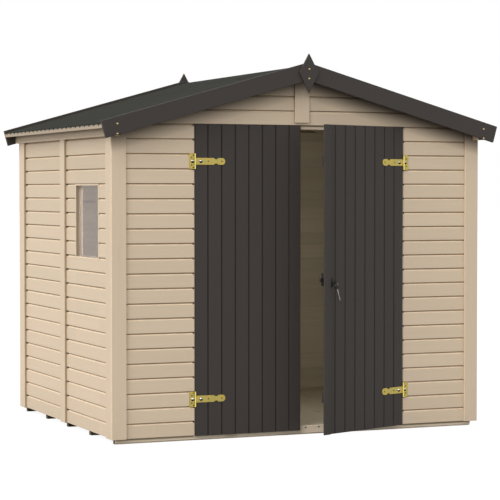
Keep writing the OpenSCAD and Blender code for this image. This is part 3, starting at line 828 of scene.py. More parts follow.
def shiplap(sizes, low, high, thin, topped=False):
    """Courses of shiplap that fill a box; thin is the axis through the wall."""
    bm = bmesh.new()
    along = 1 - thin
    out = 1.0 if low[thin] + high[thin] > 0.0 else -1.0
    face = high[thin] if out > 0.0 else low[thin]
    thick = high[thin] - low[thin]
    sweep = Vector((0.0, 0.0, 0.0))
    sweep[along] = high[along] - low[along]
    first = math.floor((low.z - sizes.course_line) / sizes.course)
    last = math.ceil((high.z - sizes.course_line) / sizes.course)
    for count in range(first, last):
        ring = []
        section = top_section if topped and count == last - 1 else course_section
        for inward, upward in section(sizes, thick):
            point = Vector((0.0, 0.0, sizes.course_line + count * sizes.course + upward))
            point[thin] = face - out * inward
            point[along] = low[along]
            ring.append(point)
        swept(bm, ring, sweep)
    cut(bm, (0.0, 0.0, low.z), (0.0, 0.0, -1.0))
    cut(bm, (0.0, 0.0, high.z), (0.0, 0.0, 1.0))
    return bm


def wall_piece(node, bm, thin, dark_end=None):
    """A wall of boards: painted outside, bare inside, with painted highlight on the lips, painted shade in
    the grooves and below the roof, and near-black painted shade at the grooves' open end.
    """
    low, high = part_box(node)
    out = 1.0 if low[thin] + high[thin] > 0.0 else -1.0
    outwards(bm)
    outer = high[thin] if out > 0.0 else low[thin]
    sizes = bpy.context.scene.shed_sizes

    def sunk(face):
        return abs(face.calc_center_median()[thin] - outer)

    def upright(face):
        return face.normal[thin] * out > 0.95

    def in_course(face, top):
        level = top - sizes.course < face.calc_center_median().z < top
        return level and upright(face) and sunk(face) < 0.5 * sizes.groove_depth

    wear_and_highlight_mark = bm.faces.layers.float.new("edge")
    for face in bm.faces:
        facing = face.normal[thin] * out
        face.material_index = 1 if facing < -0.5 else 0
        # Painted highlight on the faces that slope up to the lip of each course.
        face[wear_and_highlight_mark] = 1.0 if 0.3 < facing < 0.95 and face.normal.z > 0.0 else 0.0
    # Painted shade on the grooves' upright backs.
    mark_painted_shade(bm, lambda face: upright(face) and sunk(face) > 0.5 * sizes.groove_depth)
    # Painted shade below the roof on a gable, and course by course below the eaves on a side wall.
    if thin == 1:
        shaded(bm, sizes.gable_shade, lambda face: face.normal.y * out > 0.3)
    else:
        for count, amount in enumerate(EAVES_SHADE):
            mark_painted_shade(bm, lambda face: in_course(face, sizes.course_line - count * sizes.course), amount)
    mark_boards(bm, node)
    # Painted shade: the grooves' faces at their open end take the near-black finish.
    if dark_end is not None:
        first, last = sorted(dark_end)
        slit(bm, 1 - thin, first)
        slit(bm, 1 - thin, last)
        for face in bm.faces:
            near = first < face.calc_center_median()[1 - thin] < last
            if near and face.normal[thin] * out > 0.3 and sunk(face) > 0.3 * sizes.groove_depth:
                face.material_index = 2
    materials = [finish("cream"), finish("inside"), finish("iron")]
    make_piece(f"{node}.boards", bm, SHED, materials, [node])


class SHED_OT_walls(bpy.types.Operator):
    """Lay the shiplap courses on every wall and gable"""

    bl_idname = "shed.walls"
    bl_label = "Shiplap walls"

    def execute(self, context):
        sizes = context.scene.shed_sizes
        rail_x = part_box("front_gable")[1].x
        wall_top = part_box("right_wall_front")[1].z
        for node in ("front_wall_left", "front_wall_right", "rear_wall_left", "rear_wall_right"):
            low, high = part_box(node)
            side = 1.0 if high.x > 0.5 else -1.0
            inner_low, inner_high = low.copy(), high.copy()
            outer_low, outer_high = low.copy(), high.copy()
            outer_high.z = wall_top
            if side > 0.0:
                inner_high.x = outer_low.x = rail_x
            else:
                inner_low.x = outer_high.x = -rail_x
            bm = shiplap(sizes, inner_low, inner_high, 1)
            take_in(bm, shiplap(sizes, outer_low, outer_high, 1))
            jamb = low.x if side > 0.0 else high.x
            wall_piece(node, bm, 1, (jamb, jamb + side * sizes.groove_end))
        for node in ("front_gable", "rear_gable"):
            low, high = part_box(node)
            bm = shiplap(sizes, low, high, 1)
            pitch = math.atan2(high.z - eaves_height(node), high.x)
            for side in (-1.0, 1.0):
                cut(bm, (0.0, 0.0, high.z), (side * math.sin(pitch), 0.0, math.cos(pitch)))
            if node == "front_gable":
                take_in(bm, self.head_lip(sizes, low, high))
            wall_piece(node, bm, 1)
        strip_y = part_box("side_cover_strips")[0].y
        boards = frame["nodes"]["side_corner_boards"].data
        board_y = min(v.co.y for v in boards.vertices if v.co.y > 0.0)
        side_end = 2.2 * sizes.groove_end
        for node in ("left_wall_rear", "right_wall_front", "right_wall_rear"):
            low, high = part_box(node)
            high.z = sizes.course_line
            edge = strip_y if node.endswith("front") else board_y
            wall_piece(node, shiplap(sizes, low, high, 0, True), 0, (edge - side_end, edge))
        low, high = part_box("left_wall_front")
        high.z = sizes.course_line
        hole_low, hole_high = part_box("window_lining")
        bm = bmesh.new()
        for y0, y1, z0, z1 in (
            (low.y, hole_low.y, low.z, high.z),
            (hole_high.y, high.y, low.z, high.z),
            (hole_low.y, hole_high.y, low.z, hole_low.z),
            (hole_low.y, hole_high.y, hole_high.z, high.z),
        ):
            start, end = Vector((low.x, y0, z0)), Vector((high.x, y1, z1))
            take_in(bm, shiplap(sizes, start, end, 0, z1 == high.z))
        wall_piece("left_wall_front", bm, 0, (strip_y - side_end, strip_y))
        return {"FINISHED"}

    def head_lip(self, sizes, low, high):
        """The foot of the front gable's lowest board, which hangs down a little over the doors."""
        slack = 0.0001
        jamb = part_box("front_wall_right")[0].x - slack
        foot = sizes.course_line + sizes.course + slack
        return shiplap(sizes, Vector((-jamb, low.y, foot)), Vector((jamb, high.y, low.z)), 1)


def eaves_height(node):
    """Greatest height of a node at its right-hand edge, by the eaves."""
    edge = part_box(node)[1].x
    return max(v.co.z for v in frame["nodes"][node].data.vertices if v.co.x > edge - 1e-4)


class SHED_OT_trim(bpy.types.Operator):
    """Fit the corner boards and the strips over the panel joints"""

    bl_idname = "shed.trim"
    bl_label = "Corner boards and strips"

    def execute(self, context):
        sizes = context.scene.shed_sizes
        for node, side in (
            ("end_corner_boards", 0),
            ("side_corner_boards", 1),
            ("side_cover_strips", 1),
            ("end_cover_strips", 0),
        ):
            limit = max(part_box(node)[1][side], -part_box(node)[0][side]) - 0.02

            def board_edge(face):
                return abs(face.normal[side]) > 0.9

            def joins_wall(face):
                return board_edge(face) and abs(face.calc_center_median()[side]) < limit

            # Painted shade on the cover strips' narrow edges and on the side corner boards' edges against the
            # wall; painted shade below the roof on the end boards and strips.
            grime = {"end_corner_boards": None, "side_corner_boards": joins_wall}.get(node, board_edge)
            reach = sizes.gable_shade if node.startswith("end") else 0.0
            timber_piece(node, SHED, finish("cream"), sizes.arris, UPRIGHT, grime, reach)
        return {"FINISHED"}


class SHED_OT_framing(bpy.types.Operator):
    """Plane the studs, rails and beams"""

    bl_idname = "shed.framing"
    bl_label = "Framing"

    def execute(self, context):
        arris = context.scene.shed_sizes.arris
        for node in ("side_wall_rails", "wall_studs", "roof_beams"):
            timber_piece(node, SHED, finish("framing"), arris)
        bm = solid_of("end_wall_rails")
        eased(bm, arris)
        mark_boards(bm, "end_wall_rails")
        self.room_side("end_wall_rails", bm)
        head_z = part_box("front_gable")[0].z - context.scene.shed_sizes.head_shade
        bm = solid_of("gable_frames")
        self.mitre(bm)
        eased(bm, arris)
        mark_boards(bm, "gable_frames")
        # Painted shadow along the top of the head rail, under the gable's boards.
        slit(bm, 2, head_z)
        mark_painted_shade(bm, lambda face: abs(face.normal.y) > 0.9 and face.calc_center_median().z > head_z)
        self.room_side("gable_frames", bm)
        return {"FINISHED"}

    def room_side(self, node, bm):
        """Makes the timbers of the end walls, duller where they face the room."""
        for face in bm.faces:
            face.material_index = 1 if face.normal.y * face.calc_center_median().y < -0.1 else 0
        mark_painted_shade(bm, lambda face: face.material_index == 1, ROOM_DARKENING)
        timbers = [finish("framing"), finish("inside")]
        make_piece(f"{node}.planed", bm, SHED, timbers, [node])

    def mitre(self, bm):
        """Runs the lower corners of the head rails out along the rafters' undersides."""
        end = sorted({round(abs(vert.co.x), 4) for vert in bm.verts})[-2]
        ends = [vert for vert in bm.verts if abs(abs(vert.co.x) - end) < 1e-3]
        low, high = min(vert.co.z for vert in ends), max(vert.co.z for vert in ends)
        clearance = 0.002
        reach = (high - low) / slope_of("left_roof_deck")[0] - clearance
        for vert in ends:
            if vert.co.z < low + 1e-3:
                vert.co.x += math.copysign(reach, vert.co.x)


class SHED_OT_base(bpy.types.Operator):
    """Lay the bearers, the floor boards and the threshold with its nails"""

    bl_idname = "shed.base"
    bl_label = "Base"

    def execute(self, context):
        sizes = context.scene.shed_sizes
        self.bearers(sizes)
        self.sill(sizes)
        self.floor(sizes)
        self.nails(sizes)
        return {"FINISHED"}

    def bearers(self, sizes):
        """The bearers, with painted shade on their sides under the floor, and the sill's lighter colour, a
        painted light, on the outermost faces.
        """
        bm = solid_of("floor_bearers")
        eased(bm, sizes.arris)
        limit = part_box("floor_bearers")[1].y - 2.0 * sizes.arris
        for face in bm.faces:
            outermost = abs(face.calc_center_median().y) > limit
            face.material_index = 1 if outermost and abs(face.normal.y) > 0.5 else 0
        mark_painted_shade(bm, lambda face: abs(face.normal.y) > 0.5 and face.material_index == 0)
        mark_boards(bm, "floor_bearers")
        timbers = [finish("bearers"), finish("sill")]
        make_piece("floor_bearers.planed", bm, SHED, timbers, ["floor_bearers"])

    def floor(self, sizes):
        """The floor boards, set so that each threshold nail meets the middle of one."""
        low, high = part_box("floor_deck")
        bm = bmesh.new()
        joint = sizes.floor_nail_first - sizes.course / 2.0
        first = math.floor((low.x - joint) / sizes.course)
        last = math.ceil((high.x - joint) / sizes.course)
        for count in range(first, last):
            x0 = joint + count * sizes.course
            plank_section(bm, x0, x0 + sizes.course, low, high)
        cut(bm, (low.x, 0.0, 0.0), (-1.0, 0.0, 0.0))
        cut(bm, (high.x, 0.0, 0.0), (1.0, 0.0, 0.0))
        outwards(bm)
        mark_boards(bm, "floor_deck", Vector((0.0, 1.0, 0.0)))
        make_piece("floor_deck.boards", bm, SHED, [finish("floor")], ["floor_deck"])

    def nails(self, sizes):
        """A nail through the threshold into each floor board."""
        low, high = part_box("door_threshold")
        most, margin = 10, 0.02
        rows = [sizes.floor_nail_first + count * sizes.course for count in range(-most, most + 1)]
        places = [
            Vector((x, low.y, sizes.floor_nail_height))
            for x in rows
            if low.x + margin < x < high.x - margin
        ]
        bm = bmesh.new()
        heads(bm, nail_head(sizes.floor_nail), places, OUTWARD)
        fixings_piece("threshold_nails", bm, SHED, "key_steel", finish("iron"))

    def sill(self, sizes):
        """The sill across the front, with a painted shadow where it runs under the walls."""
        wall_low, wall_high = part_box("front_wall_left")
        shade_z = wall_low.z - sizes.sill_shade
        bm = solid_of("door_threshold")
        eased(bm, sizes.arris * 0.6)
        mark_boards(bm, "door_threshold")
        slit(bm, 2, shade_z)
        for x in (wall_high.x, -wall_high.x):
            slit(bm, 0, x)

        def under_wall(face):
            middle = face.calc_center_median()
            return face.normal.y < -0.9 and middle.z > shade_z and abs(middle.x) > -wall_high.x

        # Painted shadow under the walls' foot.
        mark_painted_shade(bm, under_wall)
        make_piece("door_threshold.planed", bm, SHED, [finish("sill")], ["door_threshold"])


def plank_section(bm, x0, x1, low, high):
    """One floor board with eased upper edges, along the depth of the floor."""
    ease = 0.0009
    ring = [
        (x0, low.z),
        (x1, low.z),
        (x1, high.z - ease),
        (x1 - ease, high.z),
        (x0 + ease, high.z),
        (x0, high.z - ease),
    ]
    swept(bm, [Vector((x, low.y, z)) for x, z in ring], Vector((0.0, high.y - low.y, 0.0)))


# Roof


def slope_of(node):
    """A roof node's rise per metre, its outer edge and its heights at the ridge."""
    low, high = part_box(node)
    edge = max(abs(low.x), abs(high.x))
    mesh = frame["nodes"][node].data
    ridge = [v.co.z for v in mesh.vertices if abs(v.co.x) < 1e-4]
    eaves = [v.co.z for v in mesh.vertices if abs(v.co.x) > edge - 1e-4]
    return (min(ridge) - min(eaves)) / edge, edge, min(ridge), max(ridge)


class SHED_OT_roof(bpy.types.Operator):
    """Board the roof, felt it in lapped strips and finish the eaves"""

    bl_idname = "shed.roof"
    bl_label = "Roof"

    def execute(self, context):
        sizes = context.scene.shed_sizes
        for side, name in ((-1.0, "left"), (1.0, "right")):
            self.deck(sizes, side, f"{name}_roof_deck")
            self.felt(sizes, side, f"{name}_roof_felt")
        bm = solid_of("eaves_rails")
        eased(bm, sizes.arris)
        # Painted shade: below the batten on the rails' sides, and below the roof on their ends.
        shaded(bm, sizes.rail_shade, lambda face: abs(face.normal.z) < 0.5)
        shaded(bm, 1.3 * sizes.gable_shade, lambda face: abs(face.normal.y) > 0.5)
        mark_boards(bm, "eaves_rails")
        make_piece("eaves_rails.planed", bm, SHED, [finish("cream")], ["eaves_rails"])
        timber_piece("eaves_battens", SHED, finish("eaves"), sizes.small_arris)
        self.grooves(sizes)
        return {"FINISHED"}

    def grooves(self, sizes):
        """Dark plates of painted shade where the grooves between roof boards open, along the top of each
        eaves batten.
        """
        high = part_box("eaves_battens")[1]
        half, skin, taper, sunk = sizes.roof_groove / 2.0, 0.0004, 0.55, 0.0002
        top = eaves_height("eaves_battens") - sunk
        section = ((-half, 0.0), (half, 0.0), (taper * half, -1.0), (-taper * half, -1.0))
        bm = bmesh.new()
        for side in (-1.0, 1.0):
            for step in range(math.floor((high.y - sizes.roof_joint) / sizes.course) + 1):
                y = sizes.roof_joint + step * sizes.course
                ring = [
                    Vector((side * (high.x - skin), y + along, top + drop * sizes.roof_groove_deep))
                    for along, drop in section
                ]
                swept(bm, ring, Vector((side * 2.0 * skin, 0.0, 0.0)))
        outwards(bm)
        make_piece("eaves_grooves", bm, SHED, [finish("iron")])

    def deck(self, sizes, side, node):
        """Boards from the ridge to the eaves with V joints on the underside."""
        low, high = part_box(node)
        rise, edge, under, top = slope_of(node)
        vee = 0.003
        bm = bmesh.new()
        start = sizes.roof_joint
        for count in range(-1, math.ceil((high.y - start) / sizes.course)):
            y0 = start + count * sizes.course
            y1 = y0 + sizes.course
            ring = [(y0 + vee, under), (y1 - vee, under), (y1, under + vee)]
            ring += [(y1, top), (y0, top), (y0, under + vee)]
            swept(bm, [Vector((0.0, y, z)) for y, z in ring], Vector((side * edge, 0.0, -rise * edge)))
        cut(bm, (0.0, low.y, 0.0), (0.0, -1.0, 0.0))
        cut(bm, (0.0, high.y, 0.0), (0.0, 1.0, 0.0))
        outwards(bm)
        mark_boards(bm, node, Vector((side, 0.0, -rise)).normalized())
        make_piece(f"{node}.boards", bm, SHED, [finish("floor")], [node])

    def felt(self, sizes, side, node):
        """Strips of felt, each lapped over the one below, and a strip over the ridge."""
        low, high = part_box(node)
        rise, edge, under, top = slope_of(node)
        thick = top - under
        eaves_top = edge - sizes.felt_strip
        lift, landed = eaves_top - 0.01, eaves_top + 0.004
        lap_end = eaves_top + sizes.felt_lap
        # Each point: distance from the ridge, then the strip's underside and top in felt thicknesses.
        strips = [
            [(eaves_top, 0.0, 1.0), (edge, 0.0, 1.0)],
            [(0.0, 0.0, 1.0), (lift, 0.0, 1.0), (landed, 1.0, 1.5), (lap_end, 1.0, 1.15)],
            [(0.0, 1.0, 1.08), (sizes.felt_cap, 1.0, 1.12)],
        ]
        bm = bmesh.new()
        for strip in strips:
            ring = [(x, base) for x, base, _ in strip] + [(x, cover) for x, _, cover in reversed(strip)]
            points = [Vector((side * x, low.y, under - rise * x + level * thick)) for x, level in ring]
            swept(bm, points, Vector((0.0, high.y - low.y, 0.0)))
        outwards(bm)
        make_piece(f"{node}.strips", bm, SHED, [finish("felt")], [node])


class SHED_OT_barges(bpy.types.Operator):
    """Fit the bargeboards and finials with their screws"""

    bl_idname = "shed.barges"
    bl_label = "Bargeboards and finials"

    def execute(self, context):
        sizes = context.scene.shed_sizes
        charcoal = finish("charcoal")
        for node in ("left_bargeboards", "right_bargeboards"):
            timber_piece(node, SHED, charcoal, sizes.arris)
        timber_piece("finials", SHED, charcoal, sizes.arris, UPRIGHT)
        barge_low, barge_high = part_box("left_bargeboards")
        tip_low, tip_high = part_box("finials")
        ends = ((-1.0, barge_low.y, tip_low.y), (1.0, barge_high.y, tip_high.y))
        barge_x = (-sizes.barge_screw_x, sizes.barge_screw_x)
        barge_z = (sizes.barge_screw_low, sizes.barge_screw_high)
        tip_z = (sizes.finial_screw_low, sizes.finial_screw_high)
        bm = bmesh.new()
        for out, barge_y, tip_y in ends:
            places = [Vector((x, barge_y, z)) for x in barge_x for z in barge_z]
            places += [Vector((0.0, tip_y, z)) for z in tip_z]
            heads(bm, screw_head(sizes.barge_screw), places, Vector((0.0, out, 0.0)))
        fixings_piece("barge_screws", bm, SHED, "gilt_steel", finish("brass"))
        return {"FINISHED"}


# Window


class SHED_OT_window(bpy.types.Operator):
    """Line the window, bed the pane and bead it inside"""

    bl_idname = "shed.window"
    bl_label = "Window"

    def execute(self, context):
        sizes = context.scene.shed_sizes
        low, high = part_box("window_lining")
        pane_low, pane_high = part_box("window_pane")
        wide = pane_low.y - low.y
        stop_high = Vector((pane_low.x, high.y, high.z))
        jamb_low = Vector((pane_low.x, low.y, low.z))
        self.ring("window_stops.boards", low, stop_high, wide, sizes.arris * 0.7, ["window_lining"], True)
        self.ring("window_jambs.boards", jamb_low, high, wide, sizes.arris * 0.3)
        self.beads(sizes, pane_low, pane_high)
        pane = frame["nodes"]["window_pane"]
        pane.data.materials.clear()
        pane.data.materials.append(finish("glass"))
        return {"FINISHED"}

    def beads(self, sizes, low, high):
        """Splayed beads inside the pane: deep ones up the sides, shallow ones above and below."""
        front, back, nose = high.x, high.x + sizes.bead, 0.002
        flat = front + sizes.bead_flat
        bm = bmesh.new()
        for edge, way in ((low.y, 1.0), (high.y, -1.0)):
            section = ((front, 0.0), (front, nose), (flat, nose), (back, sizes.bead_splay), (back, 0.0))
            ring = [Vector((x, edge + way * inward, low.z)) for x, inward in section]
            swept(bm, ring, Vector((0.0, 0.0, high.z - low.z)))
        start, end = low.y + sizes.bead_splay, high.y - sizes.bead_splay
        for edge, way in ((low.z, 1.0), (high.z, -1.0)):
            section = ((front, 0.0), (front, nose), (back, 2.0 * nose), (back, 0.0))
            ring = [Vector((x, start, edge + way * inward)) for x, inward in section]
            swept(bm, ring, Vector((0.0, end - start, 0.0)))
        outwards(bm)
        eased(bm, sizes.fine_arris)
        # Painted shade on the splayed faces.
        mark_painted_shade(bm, lambda face: 0.3 < abs(face.normal.y) < 0.98, BEAD_SHADE)
        mark_boards(bm, "window_beads")
        make_piece("window_beads", bm, SHED, [finish("white")])

    def chamfer(self, bm, x, z):
        """Takes off the outer edge of the window's sill."""
        spots = {vert for vert in bm.verts if abs(vert.co.x - x) < 1e-4 and abs(vert.co.z - z) < 1e-4}
        edges = [edge for edge in bm.edges if spots.issuperset(edge.verts)]
        bevelled(bm, edges, bpy.context.scene.shed_sizes.sill_chamfer, 1)

    def ring(self, name, low, high, wide, arris, stands_for=(), with_reveal_shade=False):
        """Four boards round an opening; the outer ones are cream, chamfered and carry painted shade in the
        opening.
        """
        bm = bmesh.new()
        gap = 0.0001
        for y0, y1, z0, z1 in (
            (low.y, low.y + wide, low.z, high.z),
            (high.y - wide, high.y, low.z, high.z),
            (low.y + wide + gap, high.y - wide - gap, low.z, low.z + wide),
            (low.y + wide + gap, high.y - wide - gap, high.z - wide, high.z),
        ):
            ring = [Vector((low.x, y, z)) for y, z in ((y0, z0), (y1, z0), (y1, z1), (y0, z1))]
            swept(bm, ring, Vector((high.x - low.x, 0.0, 0.0)))
        outwards(bm)
        if with_reveal_shade:
            self.chamfer(bm, low.x, low.z + wide)
        eased(bm, arris)
        # Painted shade on the faces inside the opening.
        if with_reveal_shade:
            mark_painted_shade(bm, lambda face: abs(face.normal.x) < 0.1, JOINT_SHADE)
        mark_boards(bm, name)
        make_piece(name, bm, SHED, [finish("cream" if with_reveal_shade else "white")], stands_for)


# Doors


def shut_box(node, body):
    """The box of a door's node where the door lies shut, from its solid turned back."""
    back = swung(body).inverted()
    corners = [back @ v.co for v in frame["nodes"][node].data.vertices]
    low = Vector([min(c[axis] for c in corners) for axis in range(3)])
    high = Vector([max(c[axis] for c in corners) for axis in range(3)])
    return low, high


class SHED_OT_doors(bpy.types.Operator):
    """Board the doors, fit the ledges, braces and cover strip"""

    bl_idname = "shed.doors"
    bl_label = "Doors"

    def execute(self, context):
        sizes = context.scene.shed_sizes
        charcoal = finish("charcoal")
        for body in (LEFT_DOOR, RIGHT_DOOR):
            self.leaf(sizes, body)
            timber_piece(f"{body}_ledges", body, charcoal, sizes.arris)
        timber_piece("door_cover_strip", RIGHT_DOOR, charcoal, sizes.arris)
        return {"FINISHED"}

    def leaf(self, sizes, body):
        """Upright boards with V joints on the face, and nails at the ledges."""
        node = f"{body}_leaf"
        low, high = shut_box(node, body)
        side = 1.0 if body == LEFT_DOOR else -1.0
        hinge_x = low.x if body == LEFT_DOOR else high.x
        width = high.x - low.x
        joints = [0.0, sizes.hinge_board]
        while joints[-1] + sizes.course < width:
            joints.append(joints[-1] + sizes.course)
        joints.append(width)
        thick = high.y - low.y
        back, narrow = 0.0008, 0.05
        bm = bmesh.new()
        nail_places = []
        levels = [0.5 * (a + b) for a, b in ledge_levels(f"{body}_ledges")]
        for start, end in zip(joints, joints[1:]):
            first = sizes.arris * 0.6 if start == 0.0 else sizes.v_joint
            last = sizes.arris * 0.6 if end == width else sizes.v_joint
            section = [
                (start + first, 0.0),
                (end - last, 0.0),
                (end, last),
                (end, thick - back),
                (end - back, thick),
                (start + back, thick),
                (start, thick - back),
                (start, first),
            ]
            ring = [Vector((hinge_x + side * x, low.y + y, low.z)) for x, y in section]
            swept(bm, ring, Vector((0.0, 0.0, high.z - low.z)))
            if end - start > narrow:
                spots = (start + sizes.clad_nail_inset, end - sizes.clad_nail_inset)
                nail_places += [Vector((hinge_x + side * x, low.y, z)) for x in spots for z in levels]
        outwards(bm)
        # Painted shade on the faces of the V joints.
        mark_painted_shade(bm, lambda face: face.normal.y < -0.3 and abs(face.normal.x) > 0.3, JOINT_SHADE)
        mark_boards(bm, node, UPRIGHT)
        bmesh.ops.transform(bm, matrix=swung(body), verts=bm.verts)
        make_piece(f"{node}.boards", bm, body, [finish("charcoal")], [node])
        bm = bmesh.new()
        heads(bm, nail_head(sizes.clad_nail), nail_places, OUTWARD, swung(body))
        fixings_piece(f"{body}_nails", bm, body, "charcoal_paint", finish("charcoal"))


def ledge_levels(node):
    """The (lower, upper) heights of the level ledges of a door, from the solid's level faces."""
    least, most = 0.03, 0.12
    mesh = frame["nodes"][node].data
    faces = sorted({round(v.co.z, 4) for v in mesh.vertices})
    return [pair for pair in zip(faces, faces[1:]) if least < pair[1] - pair[0] < most]


# Ironmongery


class SHED_OT_hinges(bpy.types.Operator):
    """Finish the strap hinges and set their bolts and screws"""

    bl_idname = "shed.hinges"
    bl_label = "Hinges"

    def execute(self, context):
        sizes = context.scene.shed_sizes
        for body in (LEFT_DOOR, RIGHT_DOOR):
            name = body.split("_")[0]
            side = 1.0 if body == LEFT_DOOR else -1.0
            plates, straps = f"{name}_hinge_plates", f"{name}_hinge_straps"
            pin = Vector(HINGES[body]["pos_m"])
            for node, rider in ((plates, SHED), (straps, body)):
                bm = solid_of(node)
                if rider == body:
                    self.strap_ends(sizes, bm, body, side)
                else:
                    for vert in bm.verts:
                        if (pin.x - vert.co.x) * side > sizes.plate_bolt:
                            vert.co.x -= side * sizes.plate_extra
                eased(bm, sizes.fine_arris, 60.0, 1)
                # The barrels take a painted highlight.
                for face in bm.faces:
                    away = (face.calc_center_median() - pin).to_2d().length
                    face.material_index = 1 if away < sizes.barrel and abs(face.normal.z) < 0.5 else 0
                gilt = [finish("gilt"), finish("bright gilt")]
                make_piece(f"{node}.plated", bm, rider, gilt, [node], smooth=35.0)
            self.fix(sizes, name, body, side)
        return {"FINISHED"}

    def strap_ends(self, sizes, bm, body, side):
        """Shapes the straps beyond their screws: a notch on each edge, then a round end."""
        turn = swung(body)
        bmesh.ops.transform(bm, matrix=turn.inverted(), verts=bm.verts)
        pin_x = HINGES[body]["pos_m"][0]
        end = max((vert.co.x - pin_x) * side for vert in bm.verts)
        start = sizes.neck - 1.5 * sizes.neck_round
        sliced(bm, (pin_x + side * start, 0.0, 0.0), (side, 0.0, 0.0), True)
        rim = {vert for edge in bm.edges if edge.is_boundary for vert in edge.verts}
        front, back = min(vert.co.y for vert in rim), max(vert.co.y for vert in rim)
        heights = sorted({round(vert.co.z, 5) for vert in rim})
        for low, high in (heights[:2], heights[-2:]):
            half, middle = (high - low) / 2.0, (high + low) / 2.0
            upper = [(start, half)]
            centre = sizes.neck_half + sizes.neck_round
            reach = math.acos((centre - half) / sizes.neck_round)
            for step in range(9):
                angle = reach * (step / 4.0 - 1.0)
                across = sizes.neck + sizes.neck_round * math.sin(angle)
                upper.append((across, centre - sizes.neck_round * math.cos(angle)))
            tip = end - sizes.strap_round
            for step in range(8):
                angle = math.radians(90.0 - 12.0 * step)
                upper.append((tip + sizes.strap_round * math.cos(angle), half * math.sin(angle)))
            outline = upper + [(end, 0.0)] + [(across, -up) for across, up in reversed(upper)]
            faces = [
                [bm.verts.new((pin_x + side * across, y, middle + up)) for across, up in outline]
                for y in (front, back)
            ]
            for ring in faces:
                bm.faces.new(ring)
            for step in range(len(outline) - 1):
                bm.faces.new((faces[0][step], faces[0][step + 1], faces[1][step + 1], faces[1][step]))
        bmesh.ops.remove_doubles(bm, verts=bm.verts, dist=2e-5)
        outwards(bm)
        bmesh.ops.transform(bm, matrix=turn, verts=bm.verts)

    def fix(self, sizes, name, body, side):
        """Bolts and screws in the plates and straps, with nuts behind the bolts."""
        pin = Vector(HINGES[body]["pos_m"])
        low, *_, high = ledge_levels(f"{body}_ledges")
        levels = (sum(low) / 2.0, sum(high) / 2.0)
        wall_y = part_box(f"{name}_hinge_plates")[1].y - sizes.hinge_metal
        leaf_y = shut_box(f"{body}_leaf", body)[0].y - sizes.hinge_metal
        stud_y = -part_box("side_wall_rails")[1].y
        ledge_y = shut_box(f"{body}_ledges", body)[1].y
        # Each screw: distance from the pin, then height from the middle of the hinge.
        plate_screws = ((0.0086, 0.036), (0.0086, -0.036), (0.0196, 0.022), (0.0196, -0.022))
        strap_screws = ((0.083, 0.0), (0.1685, 0.0))
        for rider, turn, way, bolt, screws, y, back_y in (
            (SHED, Matrix(), -side, sizes.plate_bolt, plate_screws, wall_y, stud_y),
            (body, swung(body), side, sizes.strap_bolt, strap_screws, leaf_y, ledge_y),
        ):
            label = f"{name}_plate" if rider == SHED else f"{name}_strap"
            bolts = [Vector((pin.x + way * bolt, y, z)) for z in levels]
            dots = [Vector((pin.x + way * x, y, z + up)) for z in levels for x, up in screws]
            backs = [Vector((place.x, back_y, place.z)) for place in bolts]
            bm = bmesh.new()
            heads(bm, bolt_head(sizes.bolt), bolts, OUTWARD, turn)
            heads(bm, nut(sizes.nut), backs, -OUTWARD, turn)
            # The bolt heads' undersides take painted shade.
            fixings_piece(f"{label}_bolts", bm, rider, "key_steel", finish("zinc"), finish("tarnish"))
            bm = bmesh.new()
            heads(bm, screw_head(sizes.screw), dots, OUTWARD, turn)
            fixings_piece(f"{label}_screws", bm, rider, "gilt_steel", finish("dark gilt"))


def holed_disc(bm, centre, radius, hole, hole_centre, axis, thick):
    """A round plate with a round hole, square to an axis."""
    steps = 32
    around = axis.orthogonal().normalized()
    across = axis.cross(around)
    turns = [2.0 * math.pi * step / steps for step in range(steps)]
    rings = []
    for middle, size in ((centre, radius), (hole_centre, hole)):
        points = [middle + size * (math.cos(t) * around + math.sin(t) * across) for t in turns]
        rings.append([bm.verts.new(point - axis * thick / 2.0) for point in points])
    outer, inner = rings
    faces = []
    for step in range(steps):
        after = (step + 1) % steps
        faces.append(bm.faces.new((outer[step], outer[after], inner[after], inner[step])))
    made = bmesh.ops.extrude_face_region(bm, geom=faces)["geom"]
    moved = [item for item in made if isinstance(item, bmesh.types.BMVert)]
    bmesh.ops.translate(bm, verts=moved, vec=axis * thick)


